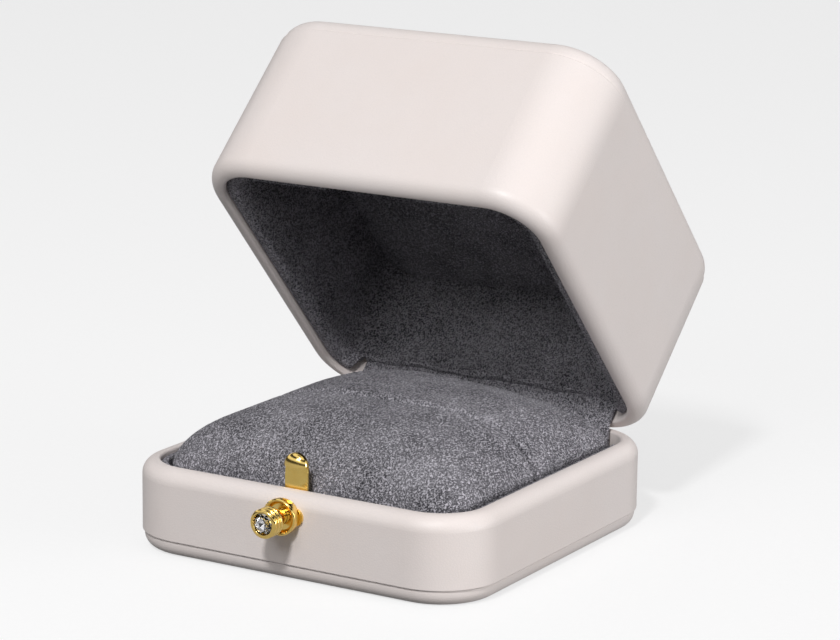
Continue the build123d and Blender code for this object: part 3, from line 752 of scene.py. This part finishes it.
# ----------------------------------------------------------------------- pieces
@dataclass
class Cushion:
    """The ring cushion: two crowned rolls of covered foam that meet at the slit."""

    voxel: float = 0.5 * MM
    cover: float = 0.5 * MM
    pressure: float = 4.0
    frames: int = 20
    swell: float = 0.25 * MM
    nap: float = 0.05 * MM
    rear_sag: float = 3.4 * MM

    def roll(self, half: str) -> Piece:
        """Builds one roll from the room that its foam fills.

        Args:
            half: front or rear.

        Returns:
            The covered roll.
        """
        node = FRAME["nodes"][f"cushion_foam_{half}"]
        piece = bpy.data.objects.new(f"cushion_{half}", node.data.copy())
        bpy.context.scene.collection.objects.link(piece)
        remesh = piece.modifiers.new("even", "REMESH")
        remesh.mode = "VOXEL"
        remesh.voxel_size = self.voxel
        soften = piece.modifiers.new("soften", "SMOOTH")
        soften.iterations, soften.factor = 2, 0.5
        apply_modifiers(piece)
        self.grow(piece, self.cover)
        self.lean(piece)
        self.inflate(piece)
        fine = piece.modifiers.new("fine", "SUBSURF")
        fine.levels = fine.render_levels = 1
        apply_modifiers(piece)
        ruffle(piece, self.nap, 0.3, SEED + len(half))
        return piece

    def lean(self, piece: Piece) -> None:
        """Lowers the crown towards the hinge, most at the right."""
        points = read_vertices(piece.data)
        side = 0.4 + 0.6 * smoothstep(points[:, 0], -10 * MM, 25 * MM)
        raised = np.clip((points[:, 2] - 13 * MM) / (10 * MM), 0.0, 1.0)
        points[:, 2] -= self.rear_sag * smoothstep(points[:, 1], 8 * MM, 27 * MM) * side * raised
        move_vertices(piece.data, points)

    @staticmethod
    def grow(piece: Piece, amount: float) -> None:
        """Moves every vertex outwards along its normal."""
        move_vertices(piece.data, read_vertices(piece.data) + read_vertices(piece.data, "normal") * amount)

    def inflate(self, piece: Piece) -> None:
        """Swells the cover with cloth pressure and keeps the result, capped."""
        scene = bpy.context.scene
        before = read_vertices(piece.data)
        cloth = piece.modifiers.new("swell", "CLOTH")
        cloth.settings.use_pressure = True
        cloth.settings.uniform_pressure_force = self.pressure
        cloth.settings.effector_weights.gravity = 0.0
        cloth.settings.quality = 5
        for frame_number in range(1, self.frames + 1):
            scene.frame_set(frame_number)
        apply_modifiers(piece)
        scene.frame_set(1)
        move = read_vertices(piece.data) - before
        length = np.linalg.norm(move, axis=1, keepdims=True)
        move *= np.minimum(1.0, self.swell / np.maximum(length, 1e-9))
        move_vertices(piece.data, before + move)

    def build(self, palette: Palette) -> list[Piece]:
        """Builds and dresses both rolls."""
        made = []
        for half in ("front", "rear"):
            piece = self.roll(half)
            palette.dress(piece, Slot.SUEDE)
            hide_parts(f"cushion_foam_{half}", f"cushion_cover_{half}")
            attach(piece, Body.BASE.value)
            made.append(piece)
        return made


@dataclass
class WrappedStrip:
    """A strip of suede wrapped round the free edge of a card, run along the plan."""

    box: BoxSizes
    outer: float
    inner: float
    fold_r: float = 0.45 * MM
    tuck: float = 2.0 * MM
    fold_steps: int = 6

    def section(self, edge_z: float, far_z: float, rows: int) -> list[Pair]:
        """Cross-section from the hidden tuck, round the free edge, up or down the inner face.

        Args:
            edge_z: height of the free edge.
            far_z: height where the inner face ends.
            rows: samples along the inner face.

        Returns:
            (inset, height) pairs.
        """
        way = 1.0 if far_z > edge_z else -1.0
        pairs = [(self.outer, edge_z + way * (self.fold_r + self.tuck))]
        turns = [math.pi / 2 * step / self.fold_steps for step in range(self.fold_steps + 1)]
        for wall, sign, angles in ((self.outer, 1, turns), (self.inner, -1, turns[::-1])):
            for angle in angles:
                inset = wall + sign * self.fold_r * (1 - math.cos(angle))
                pairs.append((inset, edge_z + way * self.fold_r * (1 - math.sin(angle))))
        start = edge_z + way * self.fold_r
        for step in range(1, rows + 1):
            pairs.append((self.inner, start + (far_z - start) * step / rows))
        return pairs

    def grid(self, cores: np.ndarray, ways: np.ndarray, edges: Sequence[float], far_z: float,
             rows: int) -> np.ndarray:
        """Grid of points, one row of the grid for each sample of the plan."""
        lines = []
        for core, way, edge in zip(cores, ways, edges):
            pairs = self.section(float(edge), far_z, rows)
            reach = np.array([self.box.plan.corner - inset for inset, _ in pairs])
            flat = core[None, :] + way[None, :] * reach[:, None]
            lines.append(np.column_stack([flat, [z for _, z in pairs]]))
        return np.array(lines)


@dataclass
class LidLining:
    """Suede lining of the lid: the walls, the back panel and the ceiling pad."""

    box: BoxSizes
    card: float = 1.4 * MM
    suede: float = 0.5 * MM
    drop: float = 0.9 * MM
    ceiling_up: float = 22.4 * MM
    recess_half: float = 8.25 * MM
    recess_taper: float = 1.6 * MM
    recess_up: float = 6.6 * MM
    back_up: float = 4.0 * MM
    back_from: float = 26.4 * MM
    panel_half: float = 20.0 * MM
    panel_reach: float = 24.6 * MM
    panel_lead: float = 0.35 * MM
    waviness: float = 0.16 * MM
    nap: float = 0.035 * MM

    def strip(self) -> WrappedStrip:
        """The wrapped strip that walls and panel are made of."""
        outer = self.box.wall + self.box.board_fit
        return WrappedStrip(self.box, outer, outer + self.card + self.suede)

    def lower_edge(self, points: np.ndarray) -> np.ndarray:
        """Height of the lining's lower edge at plan points, above the rim."""
        x, y = points[:, 0], points[:, 1]
        edge = np.full(len(points), self.drop)
        recess = smoothstep(np.abs(x), self.recess_half, self.recess_half - self.recess_taper) * (y < 0)
        edge = edge + (self.recess_up - self.drop) * recess
        raised = smoothstep(y, self.back_from - 0.6 * MM, self.back_from + 0.2 * MM)
        return edge + (self.back_up - self.drop) * raised

    def walls(self) -> Piece:
        """Side and front walls, with the latch recess in the front."""
        cores, ways = self.box.plan.walk(0.5 * MM)
        strip = self.strip()
        inner = self.box.plan.at(cores, ways, strip.inner)
        keep = ~((np.abs(inner[:, 0]) < self.panel_half) & (inner[:, 1] > 0))
        cores, ways, inner = cores[keep], ways[keep], inner[keep]
        edges = self.box.lid_z + self.lower_edge(inner)
        grid = strip.grid(cores, ways, edges, self.box.lid_z + self.ceiling_up, 34)
        return grid_piece("lid_lining_walls", self.box.hinge.opened(grid))

    def panel(self) -> Piece:
        """Back panel, with its slightly wavy lower edge."""
        count = 80
        xs = np.linspace(-self.panel_reach, self.panel_reach, count)
        core_y = self.box.plan.half_y - self.box.plan.corner
        cores = np.column_stack([xs, np.full(count, core_y)])
        ways = np.tile([0.0, 1.0], (count, 1))
        wave = np.sin(xs / self.panel_half * 7.1) + 0.6 * np.sin(xs / self.panel_half * 16.3 + 1.0)
        edges = self.box.lid_z + self.back_up + self.waviness * wave
        grid = self.strip().grid(cores, ways, edges, self.box.lid_z + self.ceiling_up, 34)
        bulge = np.sin(np.linspace(0, math.pi, count))[:, None] * np.linspace(0, 1, grid.shape[1])[None, :]
        grid[:, :, 1] -= self.panel_lead + 0.12 * MM * bulge
        return grid_piece("lid_lining_back", self.box.hinge.opened(grid))

    def ceiling(self) -> Piece:
        """Ceiling pad: a thinly padded panel with rolled edges."""
        inset = self.strip().inner - 0.4 * MM
        cores, ways = self.box.plan.walk(1.2 * MM)
        top = self.box.lid_z + self.ceiling_up
        rings = [(inset, top + 1.2 * MM), (inset, top + 0.5 * MM), (inset + 0.25 * MM, top + 0.15 * MM),
                 (inset + 0.9 * MM, top)]
        rings += [(inset + 0.9 * MM + depth, top - 0.35 * MM * math.sin(depth / (8 * MM) * math.pi / 2))
                  for depth in np.arange(1.0, 6.0, 1.0) * MM]
        grid = []
        for depth, z in rings:
            flat = self.box.plan.at(cores, ways, depth)
            grid.append(np.column_stack([flat, np.full(len(flat), z)]))
        last = grid[-1]
        for share in np.linspace(0.85, 0.0, 12):
            ring = last.copy()
            ring[:, :2] *= share
            ring[:, 2] = last[:, 2] - 0.12 * MM * (1 - share)
            grid.append(ring)
        return grid_piece("lid_ceiling_pad", self.box.hinge.opened(np.array(grid)))

    def build(self, palette: Palette) -> list[Piece]:
        """Builds and dresses the lining."""
        height = self.ceiling_up - self.drop
        walls, panel, ceiling = self.walls(), self.panel(), self.ceiling()
        plans = {walls: ("lid_lining", (184 * MM, height + 4.4 * MM), ["lid_liner_card"]),
                 panel: ("lid_back_lining", (2 * self.panel_reach, 22.8 * MM), ["lid_back_card"])}
        for piece, (node, flat, rests_on) in plans.items():
            ruffle(piece, self.nap, 0.3)
            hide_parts(node)
        ruffle(ceiling, self.nap, 0.3)
        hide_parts("lid_ceiling_cover", "lid_ceiling_foam")
        for piece in (walls, panel, ceiling):
            palette.dress(piece, Slot.SUEDE)
            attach(piece, Body.LID.value)
        return [walls, panel, ceiling]


@dataclass
class BaseCollar:
    """Suede collar round the cushion, broken at the latch and at the back."""

    box: BoxSizes
    card: float = 0.8 * MM
    suede: float = 0.4 * MM
    drop: float = 0.6 * MM
    foot_z: float = 5.0 * MM
    latch_half: float = 5.3 * MM
    back_stop: float = 6.0 * MM
    nap: float = 0.035 * MM

    def build(self, palette: Palette) -> list[Piece]:
        """Builds and dresses both halves of the collar as one piece."""
        outer = self.box.wall + self.box.board_fit
        strip = WrappedStrip(self.box, outer, outer + self.card + self.suede, fold_r=0.4 * MM)
        cores, ways = self.box.plan.walk(0.5 * MM)
        inner = self.box.plan.at(cores, ways, strip.inner)
        back = self.box.plan.half_y - self.box.wall - self.back_stop
        grids = []
        for side in (1, -1):
            keep = (inner[:, 1] < back) & (side * inner[:, 0] > 0)
            keep &= ~((np.abs(inner[:, 0]) < self.latch_half) & (inner[:, 1] < 0))
            edges = np.full(int(keep.sum()), self.box.rim_z - self.drop)
            grids.append(strip.grid(cores[keep], ways[keep], edges, self.foot_z, 14))
        points = np.concatenate([g.reshape(-1, 3) for g in grids])
        rows, columns = grids[0].shape[:2]
        faces = grid_faces(rows, columns)
        offset = rows * columns
        faces += [tuple(i + offset for i in f) for f in grid_faces(*grids[1].shape[:2])]
        piece = mesh_piece("base_collar", points, faces)
        face_outwards(piece)
        ruffle(piece, self.nap, 0.3)
        palette.dress(piece, Slot.SUEDE)
        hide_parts("base_lining")
        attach(piece, Body.BASE.value)
        return [piece]


@dataclass
class HingeFlap:
    """Suede flap over the hinge, in one strip from the base to the lid."""

    box: BoxSizes
    half_width: float = 25.0 * MM
    offset: float = 1.75 * MM
    thickness: float = 0.4 * MM
    down: float = 6.0 * MM
    up: float = 8.4 * MM
    nap: float = 0.03 * MM

    def build(self, palette: Palette) -> list[Piece]:
        """Builds the flap and bends it between base and lid."""
        hinge = self.box.hinge
        line = []
        for step in range(13):
            line.append((-self.offset, -self.down + self.down * step / 13, 0.0))
        for step in range(13):
            angle = hinge.open_angle * step / 12
            line.append((-self.offset * math.cos(angle), self.offset * math.sin(angle), angle))
        angle = hinge.open_angle
        end = line[-1]
        for step in range(1, 19):
            reach = self.up * step / 18
            line.append((end[0] + reach * math.sin(angle), end[1] + reach * math.cos(angle), angle))
        xs = np.linspace(-self.half_width, self.half_width, 100)
        half = self.thickness / 2
        grid = []
        for side in (-1, 1):
            rows = [(hinge.axis.y + y - side * half * math.cos(turn),
                     hinge.axis.z + z + side * half * math.sin(turn)) for y, z, turn in line[::-side]]
            grid += [[(x, y, z) for x in xs] for y, z in rows]
        piece = grid_piece("hinge_flap_suede", np.array(grid), wrap_rows=True, caps=True)
        ruffle(piece, self.nap, 0.3)
        palette.dress(piece, Slot.SUEDE)
        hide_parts("hinge_flap")
        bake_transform(piece)
        return [piece]


# ------------------------------------------------------------------ metal parts
@dataclass
class HingeSpring:
    """The torsion spring, copied from the frame as it stands."""

    hinge: Hinge
    reach: float = 1.3 * MM

    def build(self, palette: Palette) -> list[Piece]:
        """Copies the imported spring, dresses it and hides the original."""
        piece = bpy.data.objects.new("hinge_spring_wound", FRAME["nodes"]["hinge_spring"].data.copy())
        bpy.context.scene.collection.objects.link(piece)
        palette.dress(piece, Slot.STEEL)
        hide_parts("hinge_spring")
        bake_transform(piece)
        return [piece]


def softened(outline: Sequence[Pair], radius: float, steps: int = 5) -> list[Pair]:
    """Rounds the corners of a closed outline.

    Args:
        outline: the corners, in order.
        radius: how far along each side the rounding starts, at most.
        steps: points in each rounding, less one.

    Returns:
        The rounded outline.
    """
    points = []
    for before, corner, after in zip([outline[-1], *outline[:-1]], outline, [*outline[1:], outline[0]]):
        ends = []
        for other in (before, after):
            length = math.dist(corner, other)
            share = min(radius, 0.45 * length) / length
            ends.append([c + (o - c) * share for c, o in zip(corner, other)])
        for step in range(steps + 1):
            t = step / steps
            points.append(tuple(a * (1 - t) ** 2 + 2 * c * t * (1 - t) + b * t * t
                                for a, c, b in zip(ends[0], corner, ends[1])))
    return points


@dataclass(frozen=True)
class TurnedPart:
    """A turned metal piece about the button's axis, with softened edges.

    The outline is a closed loop of (distance behind the front, radius) pairs in millimetres.
    """

    name: str
    node: str
    body: Body
    outline: tuple[Pair, ...]
    edge: float = 0.07
    segments: int = 112

    def build(self, palette: Palette) -> list[Piece]:
        """Builds and dresses the piece in place of its node."""
        low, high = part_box(self.node)
        middle = ((low.x + high.x) / 2, (low.z + high.z) / 2)
        loop = np.array(softened(self.outline, self.edge)) * MM
        turns = np.linspace(0, 2 * math.pi, self.segments, endpoint=False)
        grid = np.empty((len(loop), self.segments, 3))
        grid[:, :, 0] = middle[0] + loop[:, 1:] * np.cos(turns)
        grid[:, :, 1] = low.y + loop[:, :1]
        grid[:, :, 2] = middle[1] + loop[:, 1:] * np.sin(turns)
        piece = grid_piece(self.name, grid, wrap_rows=True, wrap_columns=True)
        palette.dress(piece, Slot.GOLD)
        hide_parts(self.node)
        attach(piece, self.body.value)
        return [piece]


ROSETTE = TurnedPart("button_rosette_turned", "button_rosette", Body.BASE, (
    (1.5, 1.75), (1.5, 2.72), (1.28, 2.96), (0.62, 3.0), (0.20, 2.98), (0.0, 2.80), (0.06, 2.60),
    (0.34, 2.50), (0.86, 2.34), (1.1, 2.15), (1.1, 1.75)))


KNOB = TurnedPart("button_knob_turned", "button_knob", Body.BUTTON, (
    (0.5, 1.75), (0.0, 1.78), (0.0, 2.02), (0.10, 2.24), (0.34, 2.40), (0.58, 2.40),
    (0.70, 2.12), (0.95, 2.12), (1.07, 2.40), (1.43, 2.40), (1.55, 2.12), (1.80, 2.12),
    (1.92, 2.40), (2.26, 2.40), (2.85, 1.45), (4.30, 1.45), (4.30, 1.20), (7.6, 1.20), (7.6, 0.05), (1.3, 0.05), (1.3, 0.2)))


@dataclass
class CutCrystal:
    """The button's faceted crystal, with a silvered foil behind its lower facets."""

    radii: tuple[float, float, float, float] = (0.98 * MM, 1.70 * MM, 1.0 * MM, 0.05 * MM)
    depths: tuple[float, float, float, float] = (0.0, 0.42 * MM, 0.80 * MM, 1.15 * MM)
    foil_gap: float = 0.015 * MM
    sides: int = 8

    def rings(self, reach: float) -> np.ndarray:
        """Rings of points about the axis from the table to the culet, each ring turned half a facet."""
        low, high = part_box("button_crystal")
        x, z = (low.x + high.x) / 2, (low.z + high.z) / 2
        rings = []
        for index, (radius, depth) in enumerate(zip(self.radii, self.depths)):
            turns = (np.arange(self.sides) + 0.5 * (index % 2)) * 2 * math.pi / self.sides
            rings.append(np.column_stack([
                x + (radius + reach) * np.cos(turns), np.full(self.sides, low.y + depth + reach),
                z + (radius + reach) * np.sin(turns)]))
        return np.array(rings)

    def facets(self, rings: np.ndarray, closed: bool) -> list[tuple[int, ...]]:
        """Triangles between neighbouring rings, and the table if closed."""
        faces = []
        count = self.sides
        for r in range(len(rings) - 1):
            for c in range(count):
                a, b = r * count + c, r * count + (c + 1) % count
                d, e = (r + 1) * count + c, (r + 1) * count + (c + 1) % count
                faces += [(a, b, d), (b, e, d)] if r % 2 == 0 else [(a, b, e), (a, e, d)]
        if closed:
            faces.append(tuple(reversed(range(count))))
        faces.append(tuple((len(rings) - 1) * count + c for c in range(count)))
        return faces

    def build(self, palette: Palette) -> list[Piece]:
        """Builds and dresses the crystal and its foil."""
        cut = self.rings(0.0)
        crystal = mesh_piece("button_crystal_cut", cut.reshape(-1, 3), self.facets(cut, True))
        backing = self.rings(self.foil_gap)
        lower = [tuple(i - self.sides for i in face) for face in self.facets(backing, False)
                 if min(face) >= self.sides]
        foil = mesh_piece("button_foil", backing[1:].reshape(-1, 3), lower)
        for piece, slot in ((crystal, Slot.CRYSTAL), (foil, Slot.STEEL)):
            face_outwards(piece)
            piece.data.shade_flat()
            palette.dress(piece, slot)
            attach(piece, Body.BUTTON.value)
        foil.data.materials[0] = SilverFoil("silvered_foil", (0.93, 0.93, 0.95)).material(palette.effects)
        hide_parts("button_crystal")
        return [crystal, foil]


@dataclass
class LatchTongue:
    """The latch tongue: a satin strip with a polished half dome over a flat ledge."""

    half: float = 2.15 * MM
    thickness: float = 0.5 * MM
    edge: float = 0.16 * MM
    catch: float = 1.1 * MM
    dish: float = 0.14 * MM
    dish_from: float = 1.7 * MM
    dish_to: float = 0.1 * MM
    sink: float = 0.2 * MM
    root: float = 0.4 * MM
    bevel: float = 0.09 * MM

    def sheet_grid(self, low: float, ledge: float, front: float) -> np.ndarray:
        """Loops round the strip from its foot to the round top."""
        loops = []
        heights = list(np.linspace(low, ledge, 30))
        heights += [ledge + self.half * math.sin(t) for t in np.linspace(0, math.pi / 2, 26)[1:-1]]
        for z in heights:
            dished = float(smoothstep(z, ledge - self.dish_from, ledge - self.dish_to)) * (z <= ledge)
            near, far = front + self.dish * dished, front + self.thickness
            reach = self.half if z <= ledge else math.sqrt(max(self.half ** 2 - (z - ledge) ** 2, 0.0))
            reach = max(reach, 0.25 * MM)
            edge = min(self.edge, 0.45 * reach)
            corners = [(-reach, near), (reach, near), (reach, far), (-reach, far)]
            loops.append([(x, y, z) for x, y in softened(corners, edge, 4)])
        return np.array(loops)

    def dome(self, ledge: float, front: float) -> Piece:
        """The half dome, flat on its underside, sunk a little into the strip."""
        steps, side = 24, 40
        rings = []
        for tilt in np.linspace(0, math.pi / 2, steps + 1):
            rings.append((self.half * math.sin(tilt), front - self.catch * math.cos(tilt)))
        rings.append((self.half, front + self.sink))
        turns = np.linspace(0, math.pi, side)
        grid = np.array([[(r * math.cos(t), y, ledge + r * math.sin(t)) for t in turns] for r, y in rings])
        count = len(grid)
        faces = grid_faces(count, side)
        start, end = ([r * side + c for r in range(count)] for c in (0, side - 1))
        faces.append(tuple(start + end[::-1]))
        faces.append(tuple((count - 1) * side + c for c in range(side)))
        return mesh_piece("latch_catch", grid.reshape(-1, 3), faces)

    def build(self, palette: Palette) -> list[Piece]:
        """Builds and dresses the strip and its dome."""
        low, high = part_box("latch_tongue")
        ledge, front = high.z - self.half, low.y + self.catch
        loops = self.sheet_grid(low.z + self.root, ledge, front)
        strip = grid_piece("latch_strip", loops, wrap_columns=True, caps=True)
        dome = self.dome(ledge, front)
        shape = bmesh.new()
        shape.from_mesh(dome.data)
        bmesh.ops.remove_doubles(shape, verts=shape.verts, dist=0.001 * MM)
        bmesh.ops.recalc_face_normals(shape, faces=shape.faces)
        shape.to_mesh(dome.data)
        shape.free()
        bevel = dome.modifiers.new("edge", "BEVEL")
        bevel.width, bevel.segments, bevel.angle_limit = self.bevel, 3, math.radians(50)
        apply_modifiers(dome)
        for piece, slot in ((strip, Slot.SATIN_GOLD), (dome, Slot.GOLD)):
            palette.dress(piece, slot)
            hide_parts("latch_tongue")
            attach(piece, Body.TONGUE.value)
        return [strip, dome]


# ----------------------------------------------------------------------- studio
@dataclass(frozen=True)
class SoftBox:
    """A soft area light."""

    name: str
    place: Colour
    size: Pair
    power: float
    aim: tuple[float, float, float] = (0.0, 0.0, 0.03)

    def build(self) -> None:
        """Adds the light, aimed at the box."""
        lamp = bpy.data.lights.new(self.name, "AREA")
        lamp.shape = "RECTANGLE"
        lamp.size, lamp.size_y = self.size
        lamp.energy = self.power
        light = bpy.data.objects.new(self.name, lamp)
        light.location = self.place
        way = Vector(self.aim) - Vector(self.place)
        light.rotation_euler = way.to_track_quat("-Z", "Y").to_euler()
        bpy.context.scene.collection.objects.link(light)


@dataclass
class Studio:
    """Pale floor, soft light and the camera."""

    image_width: int = 840
    focal_px: float = 3229.413
    azimuth: float = 30.943
    elevation: float = 13.103
    roll: float = 0.767
    distance: float = 0.523817
    target: tuple[float, float, float] = (0.004664, 0.00005, 0.036511)
    sensor: float = 36.0
    floor_size: float = 8.0
    sky_low: float = 0.24
    sky_high: float = 0.30
    backdrop: float = 0.94
    glow: float = 0.70
    glossy_share: float = 0.4
    band_turns: float = 13.0
    band_dark: float = 0.04
    band_bright: float = 0.95
    bounce: Colour = (0.10, 0.10, 0.10)
    lights: tuple[SoftBox, ...] = (
        SoftBox("front_key", (0.15, -0.60, 0.65), (0.09, 0.09), 4.5),
        SoftBox("front_fill", (0.02, -0.80, 0.50), (0.36, 0.22), 1.45),
        SoftBox("right_fill", (0.80, 0.05, 0.12), (0.35, 0.25), 3.3),
    )

    def camera(self) -> None:
        """Places the camera at the photograph's viewing angle."""
        az, el = math.radians(self.azimuth), math.radians(self.elevation)
        back = Vector((math.sin(az) * math.cos(el), -math.cos(az) * math.cos(el), math.sin(el)))
        right = Vector((math.cos(az), math.sin(az), 0.0))
        up = back.cross(right)
        roll = math.radians(self.roll)
        rolled = right * math.cos(roll) + up * math.sin(roll)
        upright = up * math.cos(roll) - right * math.sin(roll)
        data = bpy.data.cameras.new("camera")
        data.sensor_width = self.sensor
        data.lens = self.focal_px / self.image_width * self.sensor
        data.clip_start = 0.01
        camera = bpy.data.objects.new("camera", data)
        turn = Matrix((rolled, upright, back)).transposed().to_4x4()
        camera.matrix_world = Matrix.Translation(Vector(self.target) + back * self.distance) @ turn
        bpy.context.scene.collection.objects.link(camera)
        bpy.context.scene.camera = camera

    def floor(self) -> None:
        """Lays the pale floor."""
        half = self.floor_size / 2
        points = np.array([(-half, -half, 0), (half, -half, 0), (half, half, 0), (-half, half, 0)])
        floor = mesh_piece("studio_floor", points, [(0, 1, 2, 3)])
        material = bpy.data.materials.new("studio_paper")
        material.use_nodes = True
        bench = Bench(material.node_tree)
        shader = material.node_tree.nodes["Principled BSDF"]
        fibre = bench.noise(object_place(bench), 900.0, 3.0)
        seen = bench.mix(fibre, (0.24, 0.24, 0.242), (0.26, 0.26, 0.262))
        path = bench.add("ShaderNodeLightPath")
        mirrored = bench.math("MULTIPLY", path.outputs["Is Glossy Ray"], self.glossy_share)
        direct = bench.math("MAXIMUM", path.outputs["Is Camera Ray"], mirrored)
        bench.link(bench.mix(direct, self.bounce, seen), shader.inputs["Base Color"])
        shader.inputs["Emission Color"].default_value = (1.0, 1.0, 1.0, 1.0)
        bench.link(bench.math("MULTIPLY", direct, self.glow), shader.inputs["Emission Strength"])
        shader.inputs["Roughness"].default_value = 0.9
        floor.data.materials.append(material)
        floor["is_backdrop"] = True

    def surroundings(self) -> None:
        """Sets a pale surround, brighter towards the top."""
        world = bpy.data.worlds.new("studio_world")
        world.use_nodes = True
        bench = Bench(world.node_tree)
        ways = bench.add("ShaderNodeSeparateXYZ")
        bench.link(bench.add("ShaderNodeTexCoord").outputs["Generated"], ways.inputs[0])
        sky = bench.span(ways.outputs[2], 0.0, 0.9, self.sky_low, self.sky_high)
        path = bench.add("ShaderNodeLightPath")
        bands = bench.math("SINE", bench.math("MULTIPLY", ways.outputs[2], self.band_turns))
        bands = bench.span(bands, -0.4, 0.4, self.band_bright, self.band_dark)
        sky = bench.blend(path.outputs["Is Glossy Ray"], sky, bands)
        strength = bench.blend(path.outputs["Is Camera Ray"], sky, self.backdrop)
        shade = world.node_tree.nodes["Background"]
        shade.inputs["Color"].default_value = (1.0, 1.0, 1.0, 1.0)
        bench.link(strength, shade.inputs["Strength"])
        bpy.context.scene.world = world
        bpy.context.scene.view_settings.view_transform = "Standard"

    def build(self) -> None:
        """Sets up the whole studio."""
        self.camera()
        self.floor()
        self.surroundings()
        for light in self.lights:
            light.build()


def corners() -> list[list[float]]:
    """The shown object's box, as plain lists."""
    return [list(corner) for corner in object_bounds()]


def main() -> None:
    """Dresses the frame, builds the soft pieces and the studio."""
    logging.basicConfig(level=logging.INFO, format="%(name)s: %(message)s")
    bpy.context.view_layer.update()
    palette = Palette()
    palette.dress_frame()
    box = BoxSizes()
    builders: list[Callable[[Palette], list[Piece]]] = [
        Cushion().build, LidLining(box).build, BaseCollar(box).build, HingeFlap(box).build,
        HingeSpring(box.hinge).build, ROSETTE.build, KNOB.build, CutCrystal().build, LatchTongue().build]
    for build in builders:
        for piece in build(palette):
            LOG.info("%s: %d faces", piece.name, len(piece.data.polygons))
    Studio().build()


if __name__ == "__main__":
    main()
